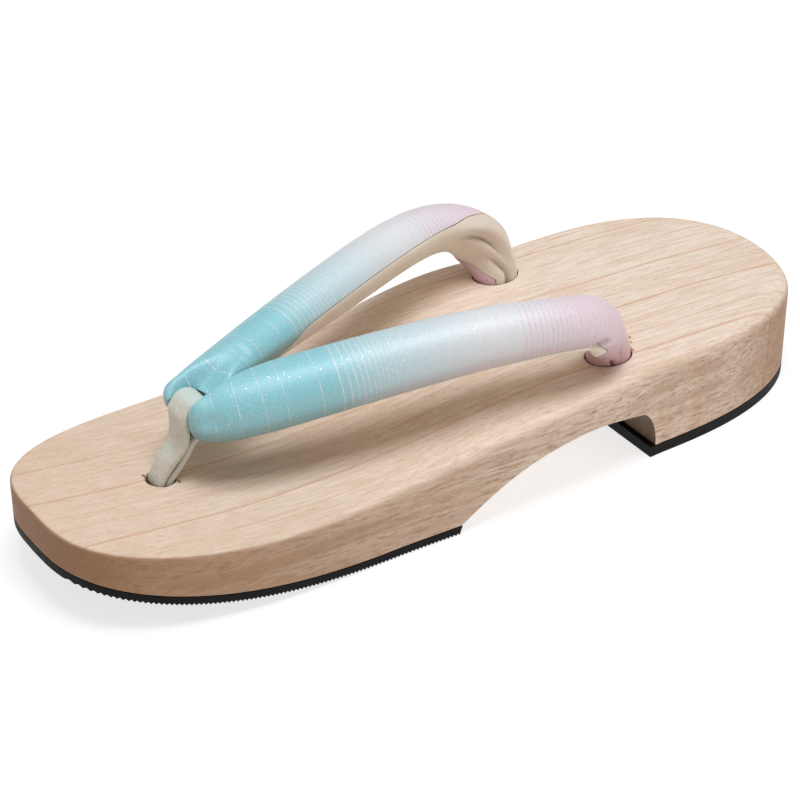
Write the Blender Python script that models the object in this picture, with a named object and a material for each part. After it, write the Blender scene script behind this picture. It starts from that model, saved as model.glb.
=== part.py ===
"""A geta sandal: one piece of pale wood on two rubber treads, with a padded V strap and a felt thong.

The sandal stands on the floor at z = 0 with its toe towards -Y. Lengths are in metres.
A share is a place along the wood, 0 at the tip of the toe and 1 at the back of the heel.
"""
import math

import bmesh
import bpy
import numpy as np
from mathutils import Vector

# The wood in plan
LENGTH = 0.245
BALL_WIDTH = 0.0808
MIDDLE_WIDTH = 0.0862
HEEL_WIDTH = 0.0810
BALL_AT = 0.34
MIDDLE_AT = 0.61
HEEL_AT = 0.73
TOE_SQUARENESS = 2.85
HEEL_SQUARENESS = 2.5

# The wood from the side
HEEL_HEIGHT = 0.0302
FOREFOOT_HEIGHT = 0.0195
TOE_LIFT = 0.0062
TOE_LIFT_FROM = 0.24
CROWN = 0.0008
ARCH_HEIGHT = 0.0191
ARCH_FRONT = 0.44
HEEL_BLOCK_FRONT = 0.715
TOE_ROUND = 0.0011
HEEL_ROUND = 0.0038
WALL_LEAN = 0.0002

# The treads and the clearance that glued and sewn pieces keep
GAP = 0.0003
TOE_SPRING = 0.0130
FLAT_FROM = 0.36
FRONT_TREAD = 0.0026
HEEL_TREAD = 0.0033
TREAD_LEDGE = 0.0017
TREAD_CHAMFER = 0.0010

# Holes through the wood
FRONT_HOLE = 0.0084
FRONT_HOLE_AT = 0.1563
FRONT_RECESS = 0.0180
FRONT_RECESS_DEPTH = 0.0060
REAR_HOLE_WIDTH = 0.0118
REAR_HOLE_LENGTH = 0.0142
REAR_HOLE_AT = 0.6816
REAR_HOLE_OUT = 0.0273
CLEAR_ABOVE = 0.0500

# The strap: a padded roll, folded in two at the thong
STRAP_WIDTH = 0.0190
STRAP_CROWN = 0.0090
STRAP_RISE = 0.0180
LINING_SHARE = 0.62
LINING_WALL = 0.0012
TIP_LENGTH = 0.0060
TIP_SQUARENESS = 2.8
STRAP_KNOT_DROP = 0.0046
STRAP_KNOT_SHIFT = 0.0012
SEAM_ANGLE = math.radians(8)
FOLD_OVERLAP = 0.0012
NECK_ABOVE = 0.0012
NECK_BELOW = 0.0015

# The thong: a felt strip looped over the fold of the strap
THONG_WIDTH = 0.0090
THONG_FOOT_WIDTH = 0.0066
THONG_WALL = 0.0021
LOOP_BACK = 0.0104
LOOP_HEIGHT = 0.0382
LOOP_INNER_DEPTH = 0.0060
LOOP_INNER_HEIGHT = 0.0082
THONG_KNOT = 0.0140
THONG_KNOT_HEIGHT = 0.0046
THONG_KNOT_ABOVE = 0.0010
THONG_FOOT_DEPTH = 0.0030
THONG_LEG_DEPTH = 0.0096
NECK_FORWARD = 0.78
NECK_DROP = 1.18
NECK_FLARE = 0.0001
FRONT_LEG_BOW = 0.0004
REAR_LEG_BOW = 0.0005
LOOP_TURNS = (-64, -40, -15, 10, 35, 60, 90, 120, 150, 180)
FELT_FLAT = 0.86
FELT_SIDE = 0.60

# How far the top of the wood has risen from forefoot to heel
# share along the wood, share of the rise
RISE_LINE = (
    (0.24, 0.00),
    (0.36, 0.12),
    (0.46, 0.44),
    (0.55, 0.76),
    (0.64, 0.90),
    (0.75, 0.95),
    (0.86, 1.00),
    (1.00, 0.94),
)

# Underside of the wood between the forefoot and the heel block
# share along the arch, share of the arch's height
ARCH_LINE = (
    (0.00, 0.16),
    (0.18, 0.56),
    (0.36, 0.83),
    (0.50, 0.945),
    (0.64, 1.00),
    (0.80, 0.93),
    (0.90, 0.85),
)
COVE_FROM = 0.90

# The two arms of the strap from the fold to the hole
# place, out as a share of the hole's, back as a share of the run, up as a share of the rise,
# half width and crown as shares of the largest, twist in degrees
LEFT_ARM = (
    (0.00, 0.110, -0.030, 0.570, 0.780, 0.66, 46.0),
    (0.10, 0.175, 0.018, 0.575, 0.860, 0.70, 45.0),
    (0.30, 0.399, 0.160, 0.705, 0.980, 0.87, 40.0),
    (0.50, 0.849, 0.571, 0.975, 0.925, 0.94, 35.0),
    (0.70, 1.163, 0.839, 0.987, 0.840, 0.88, 33.0),
    (0.85, 1.144, 0.931, 0.760, 0.860, 0.79, 36.0),
    (1.00, 1.000, 1.000, 0.060, 0.860, 0.69, 41.0),
)
RIGHT_ARM = (
    (0.00, 0.110, -0.034, 0.600, 0.800, 0.62, 28.0),
    (0.10, 0.190, 0.050, 0.650, 0.880, 0.71, 28.0),
    (0.30, 0.520, 0.262, 0.671, 0.955, 0.91, 30.0),
    (0.50, 0.830, 0.545, 0.915, 0.975, 1.03, 32.0),
    (0.70, 1.185, 0.825, 0.930, 0.965, 0.97, 36.0),
    (0.85, 1.120, 0.945, 0.700, 0.930, 0.84, 50.0),
    (1.00, 1.000, 1.000, 0.060, 0.880, 0.70, 64.0),
)
LINING_FROM = 0.28
TURN_FROM = 0.70
SQUEEZE_FROM = 0.88

# The knot of an arm under the arch
# share of its drop, width and length as shares of the hole's, share of its shift forwards
KNOT_LINE = (
    (0.12, 0.95, 0.83, 0.36),
    (0.24, 1.09, 1.04, 0.60),
    (0.48, 1.15, 1.09, 1.00),
    (0.76, 1.01, 0.95, 1.00),
    (0.93, 0.66, 0.60, 1.00),
)


def along(share):
    """Place on the Y axis of a share of the wood's length."""
    return (share - 0.5) * LENGTH


def share_at(y):
    """Share of the wood's length at a place on the Y axis."""
    return y / LENGTH + 0.5


def curve_through(rows, at):
    """Natural cubic curve through a table whose first column is the place."""
    table = np.array(rows, float)
    places = table[:, 0]
    values = table[:, 1:]
    steps = np.diff(places)[:, None]
    slopes = np.diff(values, axis=0) / steps
    count = len(places)
    system = np.eye(count)
    wanted = np.zeros_like(values)
    for row in range(1, count - 1):
        before = steps[row - 1, 0]
        after = steps[row, 0]
        system[row, row - 1:row + 2] = (before, 2 * (before + after), after)
        wanted[row] = 6 * (slopes[row] - slopes[row - 1])
    bends = np.linalg.solve(system, wanted)
    row = int(np.clip(np.searchsorted(places, at) - 1, 0, count - 2))
    step = steps[row, 0]
    ahead = at - places[row]
    left = places[row + 1] - at
    return (
        (bends[row] * left**3 + bends[row + 1] * ahead**3) / (6 * step)
        + (values[row] / step - bends[row] * step / 6) * left
        + (values[row + 1] / step - bends[row + 1] * step / 6) * ahead
    )


def ease(start, end, value):
    """Smooth step from 0 at start to 1 at end."""
    part = min(max((value - start) / (end - start), 0.0), 1.0)
    return part * part * (3 - 2 * part)


def half_width(share):
    """Half the width of the wood: a rounded toe and heel joined by two easy curves."""
    ball = BALL_WIDTH / 2
    middle = MIDDLE_WIDTH / 2
    heel = HEEL_WIDTH / 2
    if share < BALL_AT:
        ahead = (BALL_AT - share) / BALL_AT
        return ball * max(1 - ahead**TOE_SQUARENESS, 0) ** (1 / TOE_SQUARENESS)
    if share < HEEL_AT:
        return ball + (middle - ball) * ease(BALL_AT, MIDDLE_AT, share) + (
            (heel - middle) * ease(MIDDLE_AT, HEEL_AT, share)
        )
    behind = (share - HEEL_AT) / (1 - HEEL_AT)
    return heel * max(1 - behind**HEEL_SQUARENESS, 0) ** (1 / HEEL_SQUARENESS)


def top_height(x, y):
    """Top of the wood: a dish at the forefoot, a raised heel and a low crown across."""
    share = min(max(share_at(y), 0.0), 1.0)
    rise = 0.0
    if share > RISE_LINE[0][0]:
        rise = curve_through(RISE_LINE, share)[0]
    toe = max((TOE_LIFT_FROM - share) / TOE_LIFT_FROM, 0) ** 1.6
    width = max(half_width(share), 1e-6)
    crown = CROWN * max(1 - (x / width) ** 2, 0)
    return FOREFOOT_HEIGHT + (HEEL_HEIGHT - FOREFOOT_HEIGHT) * rise + TOE_LIFT * toe + crown


def spring_height(share):
    """Rise of the front tread's underside towards the toe."""
    return TOE_SPRING * (max(FLAT_FROM - share, 0) / FLAT_FROM) ** 2


def under_height(share):
    """Underside of the wood: on the front tread, over the arch and on the heel tread."""
    if share <= ARCH_FRONT:
        return spring_height(share) + FRONT_TREAD + GAP
    if share >= HEEL_BLOCK_FRONT:
        return HEEL_TREAD + GAP
    part = (share - ARCH_FRONT) / (HEEL_BLOCK_FRONT - ARCH_FRONT)
    if part <= COVE_FROM:
        return ARCH_HEIGHT * curve_through(ARCH_LINE, part)[0]
    reach = (part - COVE_FROM) / (1 - COVE_FROM)
    foot = HEEL_TREAD + GAP
    crest = ARCH_HEIGHT * ARCH_LINE[-1][1]
    return foot + (crest - foot) * math.sqrt(max(1 - reach * reach, 0))


def outline_point(share, side, inset=0.0):
    """Point of the outline, moved inwards along its normal."""
    step = 1e-4
    ahead = max(share - step, 0.0)
    behind = min(share + step, 1.0)
    run = Vector((side * (half_width(behind) - half_width(ahead)), along(behind) - along(ahead)))
    if share <= 0 or share >= 1:
        run = Vector((side * (1 if share <= 0 else -1), 0))
    inward = Vector((-run.y, run.x)).normalized() * side
    return Vector((side * half_width(share), along(share))) + inward * inset


def outline_shares(first, last, exact=()):
    """Shares that follow the round toe and heel, every few millimetres between them, and exact ones."""
    turns = [math.pi / 2 * i / 15 for i in range(16)]
    toe = [BALL_AT * (1 - math.sin(turn) ** (2 / TOE_SQUARENESS)) for turn in turns]
    heel = [HEEL_AT + (1 - HEEL_AT) * math.sin(turn) ** (2 / HEEL_SQUARENESS) for turn in turns]
    body = [i / 32 for i in range(33)]
    exact = [first, last, *exact]
    kept = list(exact)
    for share in sorted(toe + heel + body):
        apart = 0.0012 + 0.006 * ease(0.0, 0.1, min(share, 1 - share))
        if first < share < last and min(abs(share - other) for other in kept) > apart:
            kept.append(share)
    return sorted(kept)


def arch_shares():
    """Shares that follow the rise of the arch and the cove of the heel block."""
    parts = [0.0, 0.07, 0.15, 0.25, COVE_FROM]
    parts += [COVE_FROM + (1 - COVE_FROM) * math.sin(turn) for turn in (0.3, 0.6, 0.9, 1.2)]
    shares = [ARCH_FRONT + (HEEL_BLOCK_FRONT - ARCH_FRONT) * part for part in parts]
    return shares + [HEEL_BLOCK_FRONT - WALL_LEAN, HEEL_BLOCK_FRONT]


def edge_round(share):
    """Radius of the wood's top edge, crisp at the toe and softer towards the heel."""
    return TOE_ROUND + (HEEL_ROUND - TOE_ROUND) * ease(0.1, 0.5, share)


def material(name, colour, roughness):
    """The material of that name, made when a piece first asks for it."""
    found = bpy.data.materials.get(name)
    if found:
        return found
    made = bpy.data.materials.new(name)
    made.use_nodes = True
    shader = made.node_tree.nodes["Principled BSDF"]
    shader.inputs["Base Color"].default_value = (*colour, 1)
    shader.inputs["Roughness"].default_value = roughness
    shader.inputs["Metallic"].default_value = 0.0
    return made


def finish(name, bm, look):
    """Turns a bmesh into a named object with faces out and smooth shading between sharp edges."""
    bmesh.ops.recalc_face_normals(bm, faces=bm.faces)
    mesh = bpy.data.meshes.new(name)
    bm.to_mesh(mesh)
    bm.free()
    mesh.shade_smooth()
    mesh.set_sharp_from_angle(angle=math.radians(35))
    made = bpy.data.objects.new(name, mesh)
    bpy.context.scene.collection.objects.link(made)
    if look:
        mesh.materials.append(look)
    return made


def skin(bm, rings):
    """Faces between each closed ring of vertices and the next."""
    for ring, after in zip(rings, rings[1:]):
        for i in range(len(ring)):
            bm.faces.new((ring[i - 1], ring[i], after[i], after[i - 1]))


def across(bm, near, far, middles):
    """Fills a cap with strips between the two sides, which share their first and last vertex."""
    rows = [[side] + inner + [other] for side, inner, other in zip(near, middles, far)]
    for i in range(1, len(rows) - 2):
        row = rows[i]
        after = rows[i + 1]
        for k in range(len(row) - 1):
            bm.faces.new((row[k], row[k + 1], after[k + 1], after[k]))
    for tip, row in ((rows[0][0], rows[1]), (rows[-1][0], rows[-2])):
        for k in range(len(row) - 1):
            bm.faces.new((row[k], row[k + 1], tip))


def wood():
    """The wood: walls on the outline, a rounded top edge and the arched underside."""
    bm = bmesh.new()
    shares = outline_shares(0, 1, arch_shares())
    last = len(shares) - 1
    loop = [(share, 1) for share in shares] + [(share, -1) for share in shares[-2:0:-1]]
    rings = []
    rings.append([bm.verts.new((*outline_point(s, side), under_height(s))) for s, side in loop])
    for turn in (0, 30, 60, 90):
        ring = []
        for share, side in loop:
            radius = edge_round(share)
            inset = radius * (1 - math.cos(math.radians(turn)))
            drop = radius * (1 - math.sin(math.radians(turn)))
            x, y = outline_point(share, side, inset)
            ring.append(bm.verts.new((x, y, top_height(x, y) - drop)))
        rings.append(ring)
    skin(bm, rings)
    for ring, crowned in ((rings[0], False), (rings[-1], True)):
        near = ring[:last + 1]
        far = [ring[0]] + ring[:last - 1:-1]
        middles = []
        for a, b in zip(near, far):
            inner = []
            for part in (0.2, 0.4, 0.6, 0.8) if crowned and a is not b else ():
                spot = a.co.lerp(b.co, part)
                inner.append(bm.verts.new((spot.x, spot.y, top_height(spot.x, spot.y))))
            middles.append(inner)
        across(bm, near, far, middles)
    return finish("deck", bm, material("pale_wood", (0.72, 0.53, 0.34), 0.6))


def tread(name, first, last, under, over, end_cut):
    """A slab of rubber under the wood's outline between two shares."""
    bm = bmesh.new()
    shares = outline_shares(first, last)
    layers = []
    for height, cut in ((under, end_cut), (over, 0.0)):
        near = []
        far = []
        for share in shares:
            for side, row in ((1, near), (-1, far)):
                x, y = outline_point(share, side)
                y -= cut if share == last and last < 1 else 0
                row.append(bm.verts.new((x, y, height(share))))
        layers.append((near, far))
    (low_near, low_far), (high_near, high_far) = layers
    rings = list(zip(low_near, low_far, high_far, high_near))
    skin(bm, rings)
    for ring in (rings[0], rings[-1]):
        bm.faces.new(ring)
    bmesh.ops.remove_doubles(bm, verts=bm.verts, dist=1e-6)
    bmesh.ops.dissolve_degenerate(bm, edges=bm.edges, dist=1e-7)
    return finish(name, bm, material("black_rubber", (0.02, 0.02, 0.02), 0.7))


def cutter(name, profile, low, high):
    """An upright or level prism that cuts: profile points swept from low to high."""
    bm = bmesh.new()
    rings = [[bm.verts.new(place(level)) for place in profile] for level in (low, high)]
    skin(bm, rings)
    for ring in rings:
        bm.faces.new(ring)
    made = finish(name, bm, None)
    made.hide_render = True
    made.display_type = "WIRE"
    return made


def oval(x, y, width, length, count):
    """Profile of an upright oval prism."""
    profile = []
    for i in range(count):
        turn = 2 * math.pi * i / count
        spot = (x + width / 2 * math.cos(turn), y + length / 2 * math.sin(turn))
        profile.append(lambda level, spot=spot: (*spot, level))
    return profile


def boolean(target, other, operation):
    """Joins another solid to the target, or cuts it out."""
    step = target.modifiers.new(other.name, "BOOLEAN")
    step.operation = operation
    step.solver = "EXACT"
    step.object = other


def drill(deck):
    """The front hole with its recess below, and the two oval rear holes."""
    front = along(FRONT_HOLE_AT)
    roof = under_height(FRONT_HOLE_AT) + FRONT_RECESS_DEPTH
    hole = oval(0, front, FRONT_HOLE, FRONT_HOLE, 24)
    boolean(deck, cutter("front_hole", hole, 0, CLEAR_ABOVE), "DIFFERENCE")
    recess = oval(0, front, FRONT_RECESS, FRONT_RECESS, 28)
    boolean(deck, cutter("front_recess", recess, 0, roof), "DIFFERENCE")
    for side, name in ((1, "left_hole"), (-1, "right_hole")):
        profile = oval(side * REAR_HOLE_OUT, along(REAR_HOLE_AT), REAR_HOLE_WIDTH, REAR_HOLE_LENGTH, 28)
        boolean(deck, cutter(name, profile, HEEL_TREAD + GAP, CLEAR_ABOVE), "DIFFERENCE")


def loop_centre():
    """Middle of the strap's fold inside the thong's loop."""
    return Vector((0, along(FRONT_HOLE_AT) + LOOP_BACK, LOOP_HEIGHT))


def arm_at(rows, side, place):
    """Centre, sizes and twist of an arm at a place along it."""
    out, back, up, half, crown, twist = curve_through(rows, place)
    start = loop_centre().y
    run = along(REAR_HOLE_AT) - start
    centre = Vector((side * out * REAR_HOLE_OUT, start + back * run, HEEL_HEIGHT + up * STRAP_RISE))
    return centre, half * STRAP_WIDTH / 2, crown * STRAP_CROWN, math.radians(twist)


def arm_frame(rows, side, place):
    """Directions across the roll, from its inner top to its outer lower edge, and out of its cover."""
    step = 0.004
    run = (arm_at(rows, side, place + step)[0] - arm_at(rows, side, place - step)[0]).normalized()
    return turned_frame(run, side, arm_at(rows, side, place)[3])


def turned_frame(run, side, twist):
    """Directions across and out of a section whose arm runs that way, turned by its twist."""
    out = Vector((side, 0, 0))
    out = (out - run * out.dot(run)).normalized()
    up = run.cross(out) * side
    if up.z + up.y < 0:
        up = -up
    return math.cos(twist) * out - math.sin(twist) * up, math.sin(twist) * out + math.cos(twist) * up


def section_angles(kind, crown):
    """Angles round a section and the depth of each point under the roll's surface."""
    top = [(-SEAM_ANGLE + (math.pi + 2 * SEAM_ANGLE) * i / 10, 0.0) for i in range(11)]
    under = [(math.pi + SEAM_ANGLE + (math.pi - 2 * SEAM_ANGLE) * i / 8) for i in range(9)]
    if kind == "cover":
        return top + [(angle, LINING_WALL + GAP) for angle in under]
    if kind == "whole":
        return top + [(angle, 0.0) for angle in under]
    nudge = 2 * GAP / (crown * LINING_SHARE)
    span = math.pi - 2 * SEAM_ANGLE - 2 * nudge
    outer = [math.pi + SEAM_ANGLE + nudge + span * i / 8 for i in range(9)]
    return [(angle, 0.0) for angle in outer] + [(angle, LINING_WALL) for angle in reversed(outer)]


def hole_reach(direction):
    """Distance from the middle of a rear hole to its wall, less the clearance."""
    turn = math.atan2(direction.y, direction.x)
    across_hole = REAR_HOLE_WIDTH / 2 - GAP
    along_hole = REAR_HOLE_LENGTH / 2 - GAP
    return 1 / math.hypot(math.cos(turn) / across_hole, math.sin(turn) / along_hole)


def section(centre, wide, out, half, crown, kind, squeeze):
    """Points of a section: a crowned roll that is squeezed to the hole's oval where it enters it."""
    points = []
    for angle, depth in section_angles(kind, crown):
        lift = crown if math.sin(angle) > 0 else crown * LINING_SHARE
        spot = wide * (half * math.cos(angle)) + out * (lift * math.sin(angle))
        if squeeze > 0:
            spot = spot.lerp(spot.normalized() * hole_reach(spot), squeeze)
        spot = spot * (1 - depth / spot.length)
        points.append(centre + spot)
    return points


def arm_places():
    """Places of the sections, closer together at the fold and where the arm turns down."""
    fold = [0.0, 0.012, 0.03, 0.055, 0.085, 0.12, 0.16, 0.20, 0.24]
    run = [LINING_FROM + (TURN_FROM - LINING_FROM) * i / 14 for i in range(15)]
    turn = [TURN_FROM + (1 - TURN_FROM) * i / 12 for i in range(1, 13)]
    return fold + run + turn


def neck_levels():
    """Heights of the level sections above, inside and at the foot of a rear hole."""
    top = top_height(REAR_HOLE_OUT, along(REAR_HOLE_AT))
    low = under_height(REAR_HOLE_AT)
    return top + NECK_ABOVE, top - NECK_BELOW, (top + low) / 2, low


def neck(rows, side, kind, level):
    """A level section inside the hole."""
    twist = arm_at(rows, side, 1.0)[3]
    wide, out = turned_frame(Vector((0, 0, -1)), side, twist)
    centre = Vector((side * REAR_HOLE_OUT, along(REAR_HOLE_AT), level))
    return section(centre, wide, out, REAR_HOLE_LENGTH / 2, REAR_HOLE_WIDTH / 2, kind, 1.0)


def knot_rings(rows, side, start):
    """A plain knot under the arch, wider than the hole, that keeps the strap from pulling out."""
    base = neck(rows, side, "whole", start)
    middle = sum(base, Vector()) / len(base)
    rings = []
    for drop, across_hole, along_hole, shift in KNOT_LINE:
        centre = middle - Vector((0, shift * STRAP_KNOT_SHIFT, drop * STRAP_KNOT_DROP))
        around = [spot - middle for spot in base]
        rings.append([centre + Vector((spot.x * across_hole, spot.y * along_hole, 0)) for spot in around])
    return rings, middle - Vector((0, STRAP_KNOT_SHIFT, STRAP_KNOT_DROP))


def arm(name, rows, side):
    """One arm of the strap with the notch that its lining lies in."""
    bm = bmesh.new()
    rings = []
    for place in arm_places():
        centre, half, crown, _ = arm_at(rows, side, place)
        travelled = (centre - arm_at(rows, side, 0)[0]).length
        ahead = max(1 - travelled / TIP_LENGTH, 0)
        blunt = (1 - ahead**TIP_SQUARENESS) ** (1 / TIP_SQUARENESS)
        if blunt < 0.05:
            continue
        wide, out = arm_frame(rows, side, place)
        squeeze = ease(SQUEEZE_FROM, 1.0, place)
        kinds = ["whole"] if place < LINING_FROM else ["cover"]
        if place == LINING_FROM:
            kinds = ["whole", "cover"]
        for kind in kinds:
            ahead_of_lining = GAP if kind == "whole" and place == LINING_FROM else 0
            forward = wide.cross(out) * side
            middle = centre + forward * ahead_of_lining
            rings.append(section(middle, wide, out, half * blunt, crown * blunt, kind, squeeze))
    _, below, halfway, low = neck_levels()
    rings.append(neck(rows, side, "cover", below))
    for level in (below - GAP, halfway, low):
        rings.append(neck(rows, side, "whole", level))
    knot, end = knot_rings(rows, side, low)
    rings += knot
    made = [[bm.verts.new(spot) for spot in ring] for ring in rings]
    skin(bm, made)
    tip = bm.verts.new(arm_at(rows, side, 0)[0])
    tail = bm.verts.new(end)
    for pole, ring in ((tip, made[0]), (tail, made[-1])):
        for i in range(len(ring)):
            bm.faces.new((ring[i - 1], ring[i], pole))
    return finish(name, bm, material("satin", (0.62, 0.80, 0.86), 0.4))


def lining(name, rows, side):
    """The strip that closes an arm below, in the notch of the cover."""
    bm = bmesh.new()
    rings = []
    for place in [p for p in arm_places() if p >= LINING_FROM]:
        centre, half, crown, _ = arm_at(rows, side, place)
        wide, out = arm_frame(rows, side, place)
        rings.append(section(centre, wide, out, half, crown, "lining", ease(SQUEEZE_FROM, 1.0, place)))
    rings.append(neck(rows, side, "lining", neck_levels()[1]))
    made = [[bm.verts.new(spot) for spot in ring] for ring in rings]
    skin(bm, made)
    for ring in (made[0], made[-1]):
        half_count = len(ring) // 2
        for i in range(half_count - 1):
            bm.faces.new((ring[i], ring[i + 1], ring[-2 - i], ring[-1 - i]))
    return finish(name, bm, material("velvet", (0.80, 0.74, 0.62), 0.9))


def fold():
    """The squeezed middle of the strap inside the thong's loop."""
    middle = loop_centre()
    profile = []
    for i in range(20):
        turn = 2 * math.pi * i / 20
        y = middle.y + (LOOP_INNER_DEPTH / 2 - GAP) * math.cos(turn)
        z = middle.z + (LOOP_INNER_HEIGHT / 2 - GAP) * math.sin(turn)
        profile.append(lambda level, y=y, z=z: (level, y, z))
    reach = THONG_WIDTH / 2 + 3 * GAP + FOLD_OVERLAP
    return cutter("fold", profile, -reach, reach)


def loop_room():
    """The room that the thong's loop takes between the two arms."""
    middle = loop_centre()
    deep = LOOP_INNER_DEPTH / 2 + THONG_WALL + GAP
    tall = LOOP_INNER_HEIGHT / 2 + THONG_WALL + GAP
    spots = [(middle.y + deep, middle.z + 3 * tall)]
    for i in range(13):
        turn = -math.pi * i / 12
        spots.append((middle.y + deep * math.cos(turn), middle.z + tall * math.sin(turn)))
    spots.append((middle.y - deep, middle.z + 3 * tall))
    profile = [lambda level, y=y, z=z: (level, y, z) for y, z in spots]
    reach = THONG_WIDTH / 2 + GAP
    return cutter("loop_room", profile, -reach, reach)


def strap():
    """Both arms joined at the front, with room for the thong's loop round the fold."""
    left = arm("strap", LEFT_ARM, 1)
    right = arm("right_arm", RIGHT_ARM, -1)
    right.hide_render = True
    right.display_type = "WIRE"
    boolean(left, right, "UNION")
    boolean(left, loop_room(), "DIFFERENCE")
    boolean(left, fold(), "UNION")
    return left


def thong_path():
    """Middle line of the felt strip, from the foot of its rear leg over the loop to the front one."""
    middle = loop_centre()
    deep = (LOOP_INNER_DEPTH + THONG_WALL) / 2
    tall = (LOOP_INNER_HEIGHT + THONG_WALL) / 2
    apart = (THONG_WALL + GAP) / 2
    hole = along(FRONT_HOLE_AT)
    surface = top_height(0, hole)
    foot = surface - THONG_LEG_DEPTH
    neck_y = middle.y - NECK_FORWARD * deep
    neck_z = middle.z - NECK_DROP * tall
    lean_y = (neck_y + hole) / 2
    lean_z = (neck_z + surface) / 2
    below = surface - THONG_FOOT_DEPTH
    turns = [math.radians(turn) for turn in LOOP_TURNS]
    half_turn = [(middle.y + deep * math.cos(turn), middle.z + tall * math.sin(turn)) for turn in turns]
    rear = [(hole + apart, foot), (hole + apart, below), (hole + apart + NECK_FLARE, surface)]
    rear += [(lean_y + apart + REAR_LEG_BOW, lean_z), (neck_y + apart, neck_z)]
    front = [(neck_y - apart, neck_z), (lean_y - apart - FRONT_LEG_BOW, lean_z)]
    front += [(hole - apart - NECK_FLARE, surface), (hole - apart, below), (hole - apart, foot)]
    return rear + half_turn + front


def thong():
    """The felt strip: a loop over the fold, two legs through the front hole and a knot below."""
    bm = bmesh.new()
    path = thong_path()
    surface = top_height(0, along(FRONT_HOLE_AT))
    neck_level = loop_centre().z - (LOOP_INNER_HEIGHT + THONG_WALL) / 2
    corners = [(-1, -FELT_SIDE), (-FELT_FLAT, -1), (FELT_FLAT, -1), (1, -FELT_SIDE)]
    corners += [(-x, -over) for x, over in corners]
    made = []
    for i, (y, z) in enumerate(path):
        before = Vector(path[max(i - 1, 0)])
        after = Vector(path[min(i + 1, len(path) - 1)])
        run = (after - before).normalized()
        side = Vector((-run.y, run.x)) * THONG_WALL / 2
        wide = THONG_FOOT_WIDTH + (THONG_WIDTH - THONG_FOOT_WIDTH) * ease(surface, neck_level, z)
        ring = [(wide / 2 * x, y + side.x * over, z + side.y * over) for x, over in corners]
        made.append([bm.verts.new(spot) for spot in ring])
    skin(bm, made)
    for ring in (made[0], made[-1]):
        bm.faces.new(ring)
    strip = finish("thong", bm, material("felt", (0.70, 0.66, 0.58), 0.95))
    bm = bmesh.new()
    bmesh.ops.create_uvsphere(bm, u_segments=16, v_segments=8, radius=1.0)
    low = under_height(FRONT_HOLE_AT) + GAP + THONG_KNOT_ABOVE
    for vert in bm.verts:
        vert.co = Vector((
            vert.co.x * THONG_KNOT / 2,
            along(FRONT_HOLE_AT) + vert.co.y * THONG_KNOT / 2,
            low + (vert.co.z + 1) * THONG_KNOT_HEIGHT / 2,
        ))
    knot = finish("thong_knot", bm, None)
    knot.hide_render = True
    knot.display_type = "WIRE"
    boolean(strip, knot, "UNION")
    return strip


def build():
    """Clears the scene and builds every piece of the sandal."""
    for old in list(bpy.data.objects):
        bpy.data.objects.remove(old)
    drill(wood())
    over = lambda share: spring_height(share) + FRONT_TREAD
    tread("front_tread", 0, ARCH_FRONT, spring_height, over, TREAD_CHAMFER)
    ledge = HEEL_BLOCK_FRONT - TREAD_LEDGE / LENGTH
    tread("heel_tread", ledge, 1, lambda share: 0.0, lambda share: HEEL_TREAD, 0.0)
    strap()
    lining("left_lining", LEFT_ARM, 1)
    lining("right_lining", RIGHT_ARM, -1)
    thong()


build()
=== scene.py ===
"""Looks of a geta sandal: pale paulownia wood, black rubber treads, a padded satin V strap and a felt thong.

Lengths are in metres in the frame of the part: toe towards -Y, floor at z = 0.
A share is a place along the wood, 0 at the tip of the toe and 1 at the back of the heel.
"""
import math

import bmesh
import bpy
import numpy as np
from mathutils import Matrix, Vector


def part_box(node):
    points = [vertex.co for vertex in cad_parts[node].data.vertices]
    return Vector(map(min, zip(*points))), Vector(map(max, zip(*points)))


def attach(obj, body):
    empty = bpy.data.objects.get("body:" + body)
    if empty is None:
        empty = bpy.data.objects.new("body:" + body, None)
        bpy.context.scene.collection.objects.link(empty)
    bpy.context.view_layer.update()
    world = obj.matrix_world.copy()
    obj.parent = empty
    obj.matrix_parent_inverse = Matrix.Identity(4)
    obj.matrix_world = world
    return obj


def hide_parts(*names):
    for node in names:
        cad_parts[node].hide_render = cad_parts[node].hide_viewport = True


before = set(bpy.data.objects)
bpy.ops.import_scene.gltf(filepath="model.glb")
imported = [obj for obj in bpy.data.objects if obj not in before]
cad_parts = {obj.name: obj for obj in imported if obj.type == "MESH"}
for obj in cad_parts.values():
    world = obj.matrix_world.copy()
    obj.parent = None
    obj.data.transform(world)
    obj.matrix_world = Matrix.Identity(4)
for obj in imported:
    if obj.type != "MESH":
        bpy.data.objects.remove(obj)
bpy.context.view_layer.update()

# The wood in plan, as in the part
DECK_LOW, DECK_HIGH = (Vector(corner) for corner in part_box("deck"))
LENGTH = DECK_HIGH.y - DECK_LOW.y
BALL_WIDTH = 0.0808
MIDDLE_WIDTH = 0.0862
HEEL_WIDTH = 0.0810
BALL_AT = 0.34
MIDDLE_AT = 0.61
HEEL_AT = 0.73
TOE_SQUARENESS = 2.85
HEEL_SQUARENESS = 2.5

# The wood from the side
HEEL_HEIGHT = 0.0302
FOREFOOT_HEIGHT = 0.0195
TOE_LIFT = 0.0062
TOE_LIFT_FROM = 0.24
CROWN = 0.0008
ARCH_HEIGHT = 0.0191
ARCH_FRONT = 0.44
HEEL_BLOCK_FRONT = 0.715
TOE_ROUND = 0.0011
HEEL_ROUND = 0.0038

# The treads and the clearance that glued and sewn pieces keep
GAP = 0.0003
TOE_SPRING = 0.0130
FLAT_FROM = 0.36
FRONT_TREAD = 0.0026
HEEL_TREAD = 0.0033
TREAD_LEDGE = 0.0017
TREAD_CHAMFER = 0.0010

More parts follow.
